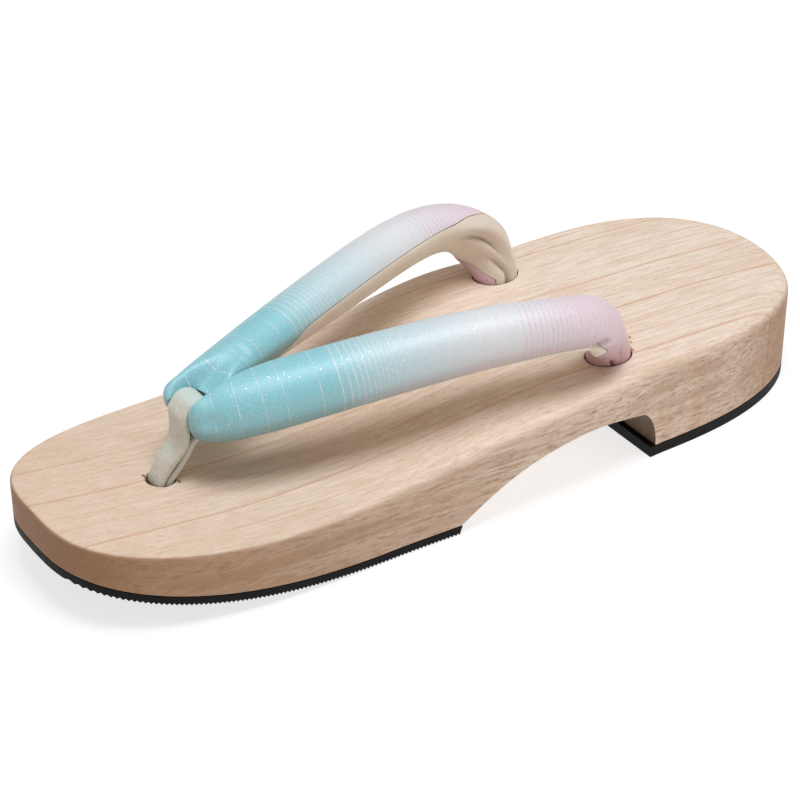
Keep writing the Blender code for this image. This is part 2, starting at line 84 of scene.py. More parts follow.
# Holes through the wood
FRONT_HOLE = 0.0084
FRONT_HOLE_AT = 0.1563
FRONT_RECESS = 0.0180
FRONT_RECESS_DEPTH = 0.0060
REAR_HOLE_WIDTH = 0.0118
REAR_HOLE_LENGTH = 0.0142
REAR_HOLE_AT = 0.6816
REAR_HOLE_OUT = 0.0273
HOLE_LIP = 0.0005
FRONT_HOLE_LIP = 0.0002

# The strap and its linings
STRAP_WIDTH = 0.0190
STRAP_CROWN = 0.0090
STRAP_RISE = 0.0180
LINING_SHARE = 0.62
LINING_WALL = 0.0012
LINING_FROM = 0.28
SQUEEZE_FROM = 0.88
TIP_LENGTH = 0.0060
TIP_SQUARENESS = 2.8
STRAP_KNOT_DROP = 0.0046
STRAP_KNOT_SHIFT = 0.0012
FOLD_OVERLAP = 0.0012
NECK_BELOW = 0.0015

# How the rolls, the notch under the lining and the hollow behind the thong's loop are shaped
LINING_TIP = 0.25
SEAM_DIP = 0.03
SEAM_ROUNDING = (-0.012, -0.004, 0.004, 0.012)
MEASURED_PLACES = 401
TIP_TURNS = range(0, 90, 6)
STATION_SPACING = 0.0006
SATIN_COLUMNS = 84
NOTCH_COLUMNS = 36
LINING_COLUMNS = 44
LINING_SWELL = 0.0003
VALLEY_RISE = 0.0062
VALLEY_LENGTH = 0.0110
VALLEY_FROM = 0.7
LEFT_VALLEY_REACH = 1.25
RIGHT_VALLEY_REACH = 1.9
ROOF_SOFTNESS = 0.0012
SIDE_SOFTNESS = 0.0010
PUSH_FULL_TO = 0.98
PUSH_ENDS_AT = 1.5
CLOTH_WIDTH = 0.05

# The thong
THONG_WIDTH = 0.0090
THONG_FOOT_WIDTH = 0.0066
THONG_WALL = 0.0021
LOOP_BACK = 0.0104
LOOP_HEIGHT = 0.0382
LOOP_INNER_DEPTH = 0.0060
LOOP_INNER_HEIGHT = 0.0082
THONG_KNOT = 0.0140
THONG_KNOT_HEIGHT = 0.0046
NECK_FORWARD = 0.78
NECK_DROP = 1.18
NECK_FLARE = 0.0001
FRONT_LEG_BOW = 0.0004
REAR_LEG_BOW = 0.0005
LOOP_TURNS = (-64, -40, -15, 10, 35, 60, 90, 120, 150, 180)
THONG_FOOT_DEPTH = 0.0030
THONG_LEG_DEPTH = 0.0096
THONG_KNOT_ABOVE = 0.0010
THONG_ROWS = 220
THONG_COLUMNS = 56
THONG_SQUARE_ACROSS = 0.36
THONG_SQUARE_THROUGH = 0.50

# share along the wood, share of the rise from forefoot to heel
RISE_LINE = (
    (0.24, 0.00),
    (0.36, 0.12),
    (0.46, 0.44),
    (0.55, 0.76),
    (0.64, 0.90),
    (0.75, 0.95),
    (0.86, 1.00),
    (1.00, 0.94),
)

# share along the arch, share of the arch's height
ARCH_LINE = (
    (0.00, 0.16),
    (0.18, 0.56),
    (0.36, 0.83),
    (0.50, 0.945),
    (0.64, 1.00),
    (0.80, 0.93),
    (0.90, 0.85),
)
COVE_FROM = 0.90

# place, out as a share of the hole's, back as a share of the run, up as a share of the rise,
# half width and crown as shares of the largest, twist in degrees
LEFT_ARM = (
    (0.00, 0.110, -0.030, 0.570, 0.780, 0.66, 46.0),
    (0.10, 0.175, 0.018, 0.575, 0.860, 0.70, 45.0),
    (0.30, 0.399, 0.160, 0.705, 0.980, 0.87, 40.0),
    (0.50, 0.849, 0.571, 0.975, 0.925, 0.94, 35.0),
    (0.70, 1.163, 0.839, 0.987, 0.840, 0.88, 33.0),
    (0.85, 1.144, 0.931, 0.760, 0.860, 0.79, 36.0),
    (1.00, 1.000, 1.000, 0.060, 0.860, 0.69, 41.0),
)
RIGHT_ARM = (
    (0.00, 0.110, -0.034, 0.600, 0.800, 0.62, 28.0),
    (0.10, 0.190, 0.050, 0.650, 0.880, 0.71, 28.0),
    (0.30, 0.520, 0.262, 0.671, 0.955, 0.91, 30.0),
    (0.50, 0.830, 0.545, 0.915, 0.975, 1.03, 32.0),
    (0.70, 1.185, 0.825, 0.930, 0.965, 0.97, 36.0),
    (0.85, 1.120, 0.945, 0.700, 0.930, 0.84, 50.0),
    (1.00, 1.000, 1.000, 0.060, 0.880, 0.70, 64.0),
)

# The knot of an arm under the arch
# share of its drop, size as a share of the hole's, share of its shift forwards
KNOT_LINE = (
    (0.12, 0.90, 0.36),
    (0.20, 1.00, 0.60),
    (0.34, 1.08, 0.85),
    (0.48, 1.11, 1.00),
    (0.62, 1.07, 1.00),
    (0.76, 0.98, 1.00),
    (0.88, 0.80, 1.00),
    (0.96, 0.50, 1.00),
    (1.00, 0.00, 1.00),
)

# Seams between satin and lining, which open from a point under the front
# place, seam towards the foot and outer seam in degrees round the roll
LEFT_SEAMS = (
    (0.25, 262, 272),
    (0.38, 196, 346),
    (0.50, 188, 358),
    (0.72, 188, 367),
    (0.82, 188, 369),
    (0.850, 190, 374),
    (0.875, 194, 342),
    (0.905, 204, 300),
    (0.935, 218, 276),
    (1.00, 228, 268),
)
RIGHT_SEAMS = (
    (0.25, 262, 272),
    (0.36, 194, 344),
    (0.50, 186, 352),
    (0.74, 178, 352),
    (0.82, 160, 350),
    (0.87, 128, 322),
    (0.93, 100, 294),
    (0.97, 94, 282),
    (1.00, 92, 272),
)

# Creases and soft ridges of the cloth, troughs below zero
# arm, along the arm as a share, round the roll in degrees, reach along, reach round, depth, slant
CREASES = (
    (1, 0.035, 60, 0.030, 14, -0.00045, 0.3),
    (1, 0.030, 115, 0.030, 12, -0.00040, -0.3),
    (-1, 0.050, 70, 0.030, 12, -0.00050, 0.4),
    (-1, 0.045, 110, 0.035, 10, -0.00060, -0.4),
    (-1, 0.120, 95, 0.040, 12, -0.00035, 0.2),
    (1, 0.846, 12, 0.014, 8, -0.00260, 1.2),
    (1, 0.880, 22, 0.022, 22, 0.00060, 0.0),
    (1, 0.905, -38, 0.020, 26, 0.00070, 0.0),
    (1, 0.930, -10, 0.014, 20, -0.00070, 0.0),
    (1, 0.985, 12, 0.018, 6, -0.00140, 0.0),
    (1, 0.962, 44, 0.018, 7, -0.00060, 0.0),
    (-1, 0.898, 231, 0.055, 7, -0.00250, 0.6),
    (-1, 0.880, 208, 0.050, 16, 0.00070, 0.0),
    (-1, 0.915, 254, 0.035, 12, 0.00090, 0.0),
    (-1, 0.985, 252, 0.045, 6, -0.00240, -1.5),
    (-1, 0.975, 286, 0.030, 6, -0.00110, 0.0),
    (-1, 0.955, 214, 0.040, 14, 0.00060, 0.0),
    (-1, 0.840, 252, 0.030, 12, -0.00080, 0.6),
)


def along(share):
    """Place on the Y axis of a share of the wood's length."""
    return (share - 0.5) * LENGTH


def share_at(y):
    """Share of the wood's length at a place on the Y axis."""
    return y / LENGTH + 0.5


def curve_through(rows, at):
    """Natural cubic curve through a table whose first column is the place."""
    table = np.array(rows, float)
    places = table[:, 0]
    values = table[:, 1:]
    steps = np.diff(places)[:, None]
    slopes = np.diff(values, axis=0) / steps
    count = len(places)
    system = np.eye(count)
    wanted = np.zeros_like(values)
    for row in range(1, count - 1):
        before = steps[row - 1, 0]
        after = steps[row, 0]
        system[row, row - 1:row + 2] = (before, 2 * (before + after), after)
        wanted[row] = 6 * (slopes[row] - slopes[row - 1])
    bends = np.linalg.solve(system, wanted)
    row = int(np.clip(np.searchsorted(places, at) - 1, 0, count - 2))
    step = steps[row, 0]
    ahead = at - places[row]
    left = places[row + 1] - at
    return (
        (bends[row] * left**3 + bends[row + 1] * ahead**3) / (6 * step)
        + (values[row] / step - bends[row] * step / 6) * left
        + (values[row + 1] / step - bends[row + 1] * step / 6) * ahead
    )


def ease(start, end, value):
    """Smooth step from 0 at start to 1 at end."""
    part = min(max((value - start) / (end - start), 0.0), 1.0)
    return part * part * (3 - 2 * part)


def half_width(share):
    """Half the wood's width: a superellipse at the toe and at the heel, and soft steps between them."""
    ball = BALL_WIDTH / 2
    middle = MIDDLE_WIDTH / 2
    heel = HEEL_WIDTH / 2
    if share < BALL_AT:
        ahead = (BALL_AT - share) / BALL_AT
        return ball * max(1 - ahead**TOE_SQUARENESS, 0) ** (1 / TOE_SQUARENESS)
    if share < HEEL_AT:
        return ball + (middle - ball) * ease(BALL_AT, MIDDLE_AT, share) + (
            (heel - middle) * ease(MIDDLE_AT, HEEL_AT, share)
        )
    behind = (share - HEEL_AT) / (1 - HEEL_AT)
    return heel * max(1 - behind**HEEL_SQUARENESS, 0) ** (1 / HEEL_SQUARENESS)


def rise_at(share):
    """Share of the rise from forefoot to heel, read from one curve that is worked out once."""
    return float(np.interp(share, RISE_PLACES, RISE_VALUES))


RISE_PLACES = np.linspace(RISE_LINE[0][0], 1.0, 300)
RISE_VALUES = [curve_through(RISE_LINE, place)[0] for place in RISE_PLACES]


def top_height(x, y):
    """Top of the wood: a dish at the forefoot, a raised heel and a low crown across."""
    share = min(max(share_at(y), 0.0), 1.0)
    rise = rise_at(share) if share > RISE_LINE[0][0] else 0.0
    toe = max((TOE_LIFT_FROM - share) / TOE_LIFT_FROM, 0) ** 1.6
    width = max(half_width(share), 1e-6)
    crown = CROWN * max(1 - (x / width) ** 2, 0)
    return FOREFOOT_HEIGHT + (HEEL_HEIGHT - FOREFOOT_HEIGHT) * rise + TOE_LIFT * toe + crown


def spring_height(share):
    """Rise of the front tread's underside towards the toe."""
    return TOE_SPRING * (max(FLAT_FROM - share, 0) / FLAT_FROM) ** 2


def under_height(share):
    """Underside of the wood: on the front tread, over the arch and on the heel tread."""
    if share <= ARCH_FRONT:
        return spring_height(share) + FRONT_TREAD + GAP
    if share >= HEEL_BLOCK_FRONT:
        return HEEL_TREAD + GAP
    part = (share - ARCH_FRONT) / (HEEL_BLOCK_FRONT - ARCH_FRONT)
    if part <= COVE_FROM:
        return ARCH_HEIGHT * curve_through(ARCH_LINE, part)[0]
    reach = (part - COVE_FROM) / (1 - COVE_FROM)
    foot = HEEL_TREAD + GAP
    crest = ARCH_HEIGHT * ARCH_LINE[-1][1]
    return foot + (crest - foot) * math.sqrt(max(1 - reach * reach, 0))


def outline_point(share, side, inset=0.0):
    """Point of the outline, moved inwards along its normal."""
    step = 1e-4
    ahead = max(share - step, 0.0)
    behind = min(share + step, 1.0)
    run = Vector((side * (half_width(behind) - half_width(ahead)), along(behind) - along(ahead)))
    if share <= 0 or share >= 1:
        run = Vector((side * (1 if share <= 0 else -1), 0))
    inward = Vector((-run.y, run.x)).normalized() * side
    return Vector((side * half_width(share), along(share))) + inward * inset


def edge_round(share):
    """Radius of the wood's top edge, crisp at the toe and softer towards the heel."""
    return TOE_ROUND + (HEEL_ROUND - TOE_ROUND) * ease(0.1, 0.5, share)


# How closely the plan's shares lie: steps round the toe or heel and along the body, and least spacings
END_STEPS = 40
BODY_STEPS = 110
CLOSEST = 0.0004
CLOSE = 0.0034


def plan_shares(first, last, exact=()):
    """Shares along the wood that follow the round toe and heel closely."""
    turns = [math.pi / 2 * i / END_STEPS for i in range(END_STEPS + 1)]
    toe = [BALL_AT * (1 - math.sin(turn) ** (2 / TOE_SQUARENESS)) for turn in turns]
    heel = [HEEL_AT + (1 - HEEL_AT) * math.sin(turn) ** (2 / HEEL_SQUARENESS) for turn in turns]
    body = [i / BODY_STEPS for i in range(BODY_STEPS + 1)]
    kept = [first, last, *exact]
    for share in sorted(toe + heel + body):
        apart = CLOSEST + (CLOSE - CLOSEST) * ease(0.0, 0.1, min(share, 1 - share))
        if first < share < last and min(abs(share - other) for other in kept) > apart:
            kept.append(share)
    return sorted(kept)


def arch_shares():
    """Shares that follow the rise of the arch and the cove of the heel block."""
    parts = [0.0, 0.03, 0.07, 0.11, 0.15, 0.20, 0.25, COVE_FROM]
    parts += [COVE_FROM + (1 - COVE_FROM) * math.sin(math.radians(turn)) for turn in range(10, 90, 10)]
    shares = [ARCH_FRONT + (HEEL_BLOCK_FRONT - ARCH_FRONT) * part for part in parts]
    return shares + [HEEL_BLOCK_FRONT - 0.0002, HEEL_BLOCK_FRONT]


def srgb(red, green, blue):
    """Linear colour of a paint read as 0 to 255 on a screen."""
    def linear(value):
        value /= 255
        return value / 12.92 if value <= 0.04045 else ((value + 0.055) / 1.055) ** 2.4
    return (linear(red), linear(green), linear(blue), 1.0)


def node(tree, kind, wires=None, **settings):
    """A shader node with its settings, and its inputs set or wired."""
    made = tree.nodes.new(kind)
    for name, value in settings.items():
        setattr(made, name, value)
    for name, value in (wires or {}).items():
        if isinstance(value, bpy.types.NodeSocket):
            tree.links.new(value, made.inputs[name])
        else:
            made.inputs[name].default_value = value
    return made


def fill(tree, made, values):
    """Sets or wires a node's inputs by number."""
    for index, value in values:
        if isinstance(value, bpy.types.NodeSocket):
            tree.links.new(value, made.inputs[index])
        else:
            made.inputs[index].default_value = value


def math_node(tree, operation, first, second=0.0, third=0.0, clamp=False):
    """The result of one sum."""
    made = node(tree, "ShaderNodeMath", operation=operation, use_clamp=clamp)
    fill(tree, made, enumerate((first, second, third)))
    return made.outputs[0]


def times(tree, first, second):
    """The product of two values."""
    return math_node(tree, "MULTIPLY", first, second)


def times_plus(tree, first, second, third):
    """The product of two values and a third one added."""
    return math_node(tree, "MULTIPLY_ADD", first, second, third)


def less(tree, first, second):
    """The first value less the second."""
    return math_node(tree, "SUBTRACT", first, second)


def larger(tree, first, second):
    """The larger of two values."""
    return math_node(tree, "MAXIMUM", first, second)


def mix_colours(tree, part, first, second, blend="MIX"):
    """The first colour with a part of the second one over it."""
    made = node(tree, "ShaderNodeMix", data_type="RGBA", blend_type=blend)
    fill(tree, made, ((0, part), (6, first), (7, second)))
    return made.outputs[2]


def coated(tree, colour, coats):
    """A colour under coats, each with its mask and its colour."""
    for mask, coat in coats:
        colour = mix_colours(tree, mask, colour, coat)
    return colour


def ramp(tree, value, stops, smooth=False):
    """Colour ramp through stops of place and colour or grey."""
    made = node(tree, "ShaderNodeValToRGB", {"Fac": value})
    line = made.color_ramp
    line.interpolation = "EASE" if smooth else "LINEAR"
    while len(line.elements) < len(stops):
        line.elements.new(0.5)
    for stop, (place, colour) in zip(line.elements, stops):
        stop.position = place
        stop.color = colour if isinstance(colour, tuple) else (colour, colour, colour, 1)
    return made.outputs["Color"]


def new_group(name, inputs, outputs):
    """An empty shader node group with named sockets: each input has a kind and a value."""
    group = bpy.data.node_groups.new(name, "ShaderNodeTree")
    for label, (kind, value) in inputs.items():
        socket = group.interface.new_socket(label, in_out="INPUT", socket_type=kind)
        if value is not None:
            socket.default_value = value
    for label, kind in outputs.items():
        group.interface.new_socket(label, in_out="OUTPUT", socket_type=kind)
    entry = group.nodes.new("NodeGroupInput")
    leave = group.nodes.new("NodeGroupOutput")
    return group, entry, leave


def stretched(group, entry):
    """The group's vector, scaled by its turns across and along."""
    scale = node(group, "ShaderNodeCombineXYZ", {
        "X": entry.outputs["Across"], "Y": entry.outputs["Along"], "Z": entry.outputs["Across"],
    })
    spot = node(group, "ShaderNodeVectorMath", operation="MULTIPLY")
    fill(group, spot, ((0, entry.outputs["Vector"]), (1, scale.outputs[0])))
    return spot.outputs[0]


def streak_group():
    """Noise drawn out along one axis, as wood fibres, brush marks or soft unevenness."""
    group, entry, leave = new_group(
        "streaks",
        {
            "Vector": ("NodeSocketVector", None),
            "Across": ("NodeSocketFloat", 400.0),
            "Along": ("NodeSocketFloat", 40.0),
            "Detail": ("NodeSocketFloat", 4.0),
        },
        {"Value": "NodeSocketFloat"},
    )
    noise = node(group, "ShaderNodeTexNoise", {
        "Vector": stretched(group, entry), "Scale": 1.0, "Detail": entry.outputs["Detail"], "Roughness": 0.55,
    })
    group.links.new(noise.outputs["Fac"], leave.inputs["Value"])
    return group


def speck_group():
    """Small scattered specks: 1 inside a speck, 0 outside, and a random share for each."""
    group, entry, leave = new_group(
        "specks",
        {
            "Vector": ("NodeSocketVector", None),
            "Across": ("NodeSocketFloat", 500.0),
            "Along": ("NodeSocketFloat", 100.0),
            "Radius": ("NodeSocketFloat", 0.2),
            "Kept": ("NodeSocketFloat", 0.3),
        },
        {"Mask": "NodeSocketFloat", "Chance": "NodeSocketFloat"},
    )
    cells = node(group, "ShaderNodeTexVoronoi", {"Vector": stretched(group, entry), "Scale": 1.0})
    chance = node(group, "ShaderNodeSeparateColor", {"Color": cells.outputs["Color"]})
    near = math_node(group, "LESS_THAN", cells.outputs["Distance"], entry.outputs["Radius"])
    kept = math_node(group, "LESS_THAN", chance.outputs["Red"], entry.outputs["Kept"])
    group.links.new(times(group, near, kept), leave.inputs["Mask"])
    group.links.new(chance.outputs["Green"], leave.inputs["Chance"])
    return group


STREAKS = streak_group()
SPECKS = speck_group()


def streaks(tree, vector, across, along_y, detail=4.0):
    """Noise with so many turns to a metre across and along."""
    made = node(tree, "ShaderNodeGroup", {"Vector": vector}, node_tree=STREAKS)
    fill(tree, made, (("Across", across), ("Along", along_y), ("Detail", detail)))
    return made.outputs["Value"]


def noise(tree, vector, scale, detail):
    """Plain noise on the cloth's own map."""
    wires = {"Vector": vector, "Scale": scale, "Detail": detail}
    return node(tree, "ShaderNodeTexNoise", wires).outputs["Fac"]


def specks(tree, vector, across, along_y, radius, kept):
    """Mask and random share of specks with so many to a metre, of which a part is kept."""
    made = node(tree, "ShaderNodeGroup", {"Vector": vector}, node_tree=SPECKS)
    fill(tree, made, (("Across", across), ("Along", along_y), ("Radius", radius), ("Kept", kept)))
    return made.outputs["Mask"], made.outputs["Chance"]


def facing(tree):
    """Components of the surface's outward direction."""
    normal = node(tree, "ShaderNodeNewGeometry").outputs["Normal"]
    return node(tree, "ShaderNodeSeparateXYZ", {"Vector": normal}).outputs


def new_material(name, **sockets):
    """A material with a Principled shader whose constant values are set on its own sockets."""
    made = bpy.data.materials.new(name)
    made.use_nodes = True
    tree = made.node_tree
    shader = tree.nodes["Principled BSDF"]
    for label, value in sockets.items():
        shader.inputs[label.replace("_", " ")].default_value = value
    return made, tree, shader


def wire(tree, shader, **values):
    """Wires values to the shader's sockets of these names."""
    for label, value in values.items():
        tree.links.new(value, shader.inputs[label.replace("_", " ")])


def bump(tree, height, distance, strength=1.0):
    """Surface direction of a relief."""
    wires = {"Height": height, "Distance": distance, "Strength": strength}
    return node(tree, "ShaderNodeBump", wires).outputs["Normal"]


# Paulownia: its colours
WOOD_PALE = srgb(240, 223, 207)
WOOD_TAN = srgb(231, 210, 190)
WOOD_SILK = srgb(247, 234, 220)
FINE_LINE = srgb(214, 168, 124)
LATE_WOOD = srgb(206, 144, 88)
FIBRE = srgb(202, 164, 128)
DASH = srgb(146, 106, 74)
PORE = srgb(116, 80, 52)
TOE_TINT = srgb(212, 180, 150)
WALL_TAN_AND_PAINTED_SHADE = srgb(164, 125, 92)
TIP_TAN_AND_PAINTED_SHADE = srgb(138, 101, 72)
CUT_STREAK = srgb(138, 98, 66)
RIM_BROWN = srgb(150, 108, 76)
COVE_PAINTED_SHADE = srgb(66, 46, 34)
TORN_DARK = srgb(112, 62, 34)
TORN_ORANGE = srgb(186, 104, 42)

# How the grain drifts sideways along the wood
GRAIN_SLOPE = 0.0686
GRAIN_CURVE = 0.243
GRAIN_TURN = math.radians(4.5)
# turns to a metre across and along, how far the lines sway
GRAIN_SWAYS = (
    (14.0, 6.0, 0.0050),
    (150.0, 22.0, 0.0007),
)
FINE_LINE_PITCH = 0.0024
LINE_SHARP_SIDE = 0.00025
LINE_SLOW_SIDE = 0.0011
# share along the wood, how tan its wall is: partly the wood's own colour, partly painted shade
WALL_TAN_AND_PAINTED_SHADES = (
    (0.0, 0.97),
    (0.10, 0.86),
    (0.26, 0.66),
    (0.44, 0.42),
    (0.62, 0.24),
    (0.84, 0.38),
    (0.93, 0.85),
)
# place across the wood, strength
GROWTH_LINES = (
    (-0.0365, 0.75),
    (-0.0265, 0.30),
    (-0.0130, 0.80),
    (-0.0035, 0.28),
    (0.0040, 0.90),
    (0.0128, 0.35),
    (0.0180, 0.62),
    (0.0262, 0.95),
    (0.0345, 0.45),
)
# Splinters and torn corners at the holes: x, y, half width, half length
TORN_SPOTS = (
    (0.0234, 0.0548, 0.0009, 0.0007),
    (0.0259, 0.0534, 0.0005, 0.0008),
    (0.0286, 0.0516, 0.0012, 0.0006),
    (-0.0034, -0.0876, 0.0007, 0.0004),
    (0.0034, -0.0806, 0.0008, 0.0004),
)
TORN_REACH = 1.6


def growth_line_group():
    """A growth line: it darkens slowly on one side and ends sharply on the other."""
    number = "NodeSocketFloat"
    sockets = {"Across": (number, 0.0), "At": (number, 0.0), "Strength": (number, 1.0)}
    group, entry, leave = new_group("growth_line", sockets, {"Value": number})
    beside = less(group, entry.outputs["Across"], entry.outputs["At"])
    sharp = times(group, beside, 1 / LINE_SHARP_SIDE)
    slow = times(group, beside, -1 / LINE_SLOW_SIDE)
    fall = math_node(group, "SUBTRACT", 1.0, larger(group, sharp, slow), clamp=True)
    line = math_node(group, "POWER", fall, 1.6)
    group.links.new(times(group, line, entry.outputs["Strength"]), leave.inputs["Value"])
    return group


def growth_lines(tree, across, turned):
    """All growth lines, stronger and weaker along their run."""
    group = growth_line_group()
    late = 0.0
    for offset, strength in GROWTH_LINES:
        line = node(tree, "ShaderNodeGroup", {"Across": across}, node_tree=group)
        fill(tree, line, (("At", offset), ("Strength", strength)))
        late = larger(tree, late, line.outputs["Value"])
    return times(tree, late, ramp(tree, streaks(tree, turned, 60.0, 14.0, 3.0), ((0.30, 0.45), (0.58, 1.0))))


def fine_lines(tree, across, turned):
    """Faint lines between the growth lines, in patches."""
    turn = math_node(tree, "FRACT", times(tree, across, 1 / FINE_LINE_PITCH))
    line = ramp(tree, turn, ((0.0, 0.0), (0.66, 0.0), (0.90, 1.0), (0.97, 0.0)))
    return times(tree, line, ramp(tree, streaks(tree, turned, 90.0, 12.0, 2.0), ((0.44, 0.0), (0.66, 1.0))))


def torn_spots(tree, parts, turned):
    """Torn fibres at the holes, on top of the wood only."""
    torn = 0.0
    for x, y, half_wide, half_long in TORN_SPOTS:
        aside = math_node(tree, "DIVIDE", less(tree, parts["X"], x), half_wide)
        behind = math_node(tree, "DIVIDE", less(tree, parts["Y"], y), half_long)
        squared = math_node(tree, "ADD", times(tree, aside, aside), times(tree, behind, behind))
        torn = larger(tree, torn, math_node(tree, "SUBTRACT", TORN_REACH, squared, clamp=True))
    ragged = ramp(tree, streaks(tree, turned, 1500.0, 700.0, 2.0), ((0.34, 0.0), (0.44, 1.0)))
    above = math_node(tree, "GREATER_THAN", parts["Z"], ARCH_HEIGHT)
    return times(tree, times(tree, torn, ragged), above)


def painted_cove_shade(tree, share, normal):
    """Mask of painted shade in the cove in front of the heel block, which the light hardly reaches."""
    into_cove = ramp(tree, share, ((0.66, 0.0), (0.695, 1.0), (0.716, 1.0), (0.719, 0.0)))
    upward = times_plus(tree, normal["Z"], 0.5, 0.5)
    downward = ramp(tree, upward, ((0.40, 1.0), (0.49, 0.0)))
    forward = ramp(tree, times(tree, normal["Y"], -1.0), ((0.40, 0.0), (0.70, 1.0)))
    return times(tree, larger(tree, downward, forward), into_cove)


def wood_material():
    """Pale straight-grained wood: growth lines, fibres, cut pores, a browner toe, tanner walls that are
    partly painted shade, and painted shade in the cove.
    """
    made, tree, shader = new_material("pale_wood", Roughness=0.6, IOR=1.45, Specular_IOR_Level=0.28)
    place = node(tree, "ShaderNodeTexCoord").outputs["Object"]
    turned = node(tree, "ShaderNodeMapping", {"Vector": place, "Rotation": (0.0, 0.0, GRAIN_TURN)})
    turned = turned.outputs["Vector"]
    parts = node(tree, "ShaderNodeSeparateXYZ", {"Vector": place}).outputs
    share = times_plus(tree, parts["Y"], 1 / LENGTH, 0.5)
    drift = times_plus(tree, parts["Y"], GRAIN_CURVE, GRAIN_SLOPE)
    across = less(tree, parts["X"], times(tree, parts["Y"], drift))
    for wide, long, reach in GRAIN_SWAYS:
        sway = less(tree, streaks(tree, turned, wide, long, 2.0), 0.5)
        across = times_plus(tree, sway, reach, across)
    late = growth_lines(tree, across, turned)
    fine = fine_lines(tree, across, turned)
    torn = torn_spots(tree, parts, turned)
    fibre = streaks(tree, turned, 2600.0, 95.0, 5.0)
    silk = streaks(tree, turned, 900.0, 60.0, 3.0)
    shade = streaks(tree, turned, 110.0, 6.0, 3.0)
    cut = ramp(tree, streaks(tree, turned, 1300.0, 150.0, 4.0), ((0.46, 0.0), (0.66, 0.50)))
    bands = ramp(tree, streaks(tree, turned, 260.0, 8.0, 3.0), ((0.46, 0.0), (0.64, 0.36)))
    dash = specks(tree, turned, 2600.0, 420.0, 0.34, 0.42)[0]
    pore = specks(tree, turned, 1500.0, 300.0, 0.20, 0.12)[0]
    normal = facing(tree)
    wall = ramp(tree, normal["Z"], ((0.10, 1.0), (0.70, 0.0)))
    rim = ramp(tree, normal["Z"], ((0.15, 0.0), (0.40, 1.0), (0.60, 1.0), (0.93, 0.0)))
    colour = mix_colours(tree, ramp(tree, shade, ((0.36, 0.0), (0.66, 1.0))), WOOD_PALE, WOOD_TAN)
    colour = coated(tree, colour, (
        (ramp(tree, silk, ((0.42, 0.0), (0.62, 0.75))), WOOD_SILK),
        (times(tree, fine, 0.42), FINE_LINE),
        (times(tree, late, 0.85), LATE_WOOD),
        (ramp(tree, fibre, ((0.48, 0.0), (0.70, 0.50))), FIBRE),
        (times(tree, dash, times_plus(tree, wall, 0.26, 0.15)), DASH),
        (times(tree, pore, times_plus(tree, wall, 0.35, 0.18)), PORE),
        (ramp(tree, share, ((0.0, 0.44), (0.30, 0.22), (0.75, 0.0))), TOE_TINT),
        # walls: their own tan mixed with painted shade, darkest at the toe
        (times(tree, wall, ramp(tree, share, WALL_TAN_AND_PAINTED_SHADES)), WALL_TAN_AND_PAINTED_SHADE),
        (times(tree, wall, ramp(tree, share, ((0.0, 0.75), (0.07, 0.0)))), TIP_TAN_AND_PAINTED_SHADE),
        (times(tree, wall, larger(tree, cut, bands)), CUT_STREAK),
        (times(tree, rim, ramp(tree, share, ((0.0, 0.70), (0.40, 0.30), (1.0, 0.0)))), RIM_BROWN),
        # painted shade in the cove
        (times(tree, painted_cove_shade(tree, share, normal), 0.85), COVE_PAINTED_SHADE),
        (times(tree, torn, 0.8), ramp(tree, share, ((0.40, TORN_DARK), (0.45, TORN_ORANGE)))),
    ))
    wire(tree, shader, Base_Color=colour, Roughness=times_plus(tree, fibre, 0.18, 0.50))
    height = times_plus(tree, fibre, 0.6, late)
    for mask, depth in ((dash, 0.9), (pore, 1.6), (torn, 2.5)):
        height = less(tree, height, times(tree, mask, depth))
    wire(tree, shader, Normal=bump(tree, height, 0.00010, 0.6))
    return made


def rubber_material():
    """Near-black moulded rubber with a faint dusty unevenness."""
    made, tree, shader = new_material("black_rubber", Roughness=0.62, Specular_IOR_Level=0.16)
    place = node(tree, "ShaderNodeTexCoord").outputs["Object"]
    dust = streaks(tree, place, 300.0, 300.0, 5.0)
    grit = streaks(tree, place, 4200.0, 4200.0, 2.0)
    colour = mix_colours(tree, ramp(tree, dust, ((0.45, 0.0), (0.8, 0.5))), srgb(9, 9, 11), srgb(24, 23, 24))
    relief = bump(tree, grit, 0.00006, 0.6)
    wire(tree, shader, Base_Color=colour, Roughness=times_plus(tree, dust, 0.3, 0.45), Normal=relief)
    return made


# Satin: colours, and how the stripes change along an arm in metres from its tip
SKY = srgb(121, 207, 220)
SNOW = srgb(229, 233, 238)
ROSE = srgb(232, 192, 210)
ARM_LENGTH = 0.135
FIRST_WHITE_LINES = (0.0073, 0.0137, 0.0200, 0.0256, 0.0352)
WHITE_LINES_FROM = 0.0405
PINK_LINES_FROM = 0.0925
GLINT_LINES_FROM = 0.1105
LINE_WIDTH = 0.00028
ROSE_GLINT = srgb(246, 226, 238)
THREAD_PITCH = 0.00042
UNDER_SHADE = (0.62, 0.50, 0.46, 1.0)
# The right arm's colours fade a little later than the left one's
FAR_FADE = 0.96
# share along an arm, how wide the white or pink lines are as a share of their pitch
WHITE_DUTY = ((0.295, 0.0), (0.30, 0.14), (0.42, 0.42), (0.50, 0.66), (0.58, 0.86), (0.60, 1.0))
PINK_DUTY = ((0.684, 0.0), (0.685, 0.22), (0.75, 0.36), (0.79, 0.50), (0.84, 0.72), (0.87, 1.0))
# share along an arm, how white or pink the ground between the lines is
WHITE_GROUND = ((0.28, 0.0), (0.36, 0.30), (0.46, 0.60), (0.55, 0.85), (0.62, 1.0))
PINK_GROUND = ((0.68, 0.0), (0.76, 0.22), (0.83, 0.55), (0.90, 0.85), (0.97, 1.0))
# how far the surface faces up, from 0 to 1, and how shaded it is
UNDER_SHADES = ((0.20, 1.0), (0.36, 0.85), (0.50, 0.48), (0.75, 0.22), (0.95, 0.0))


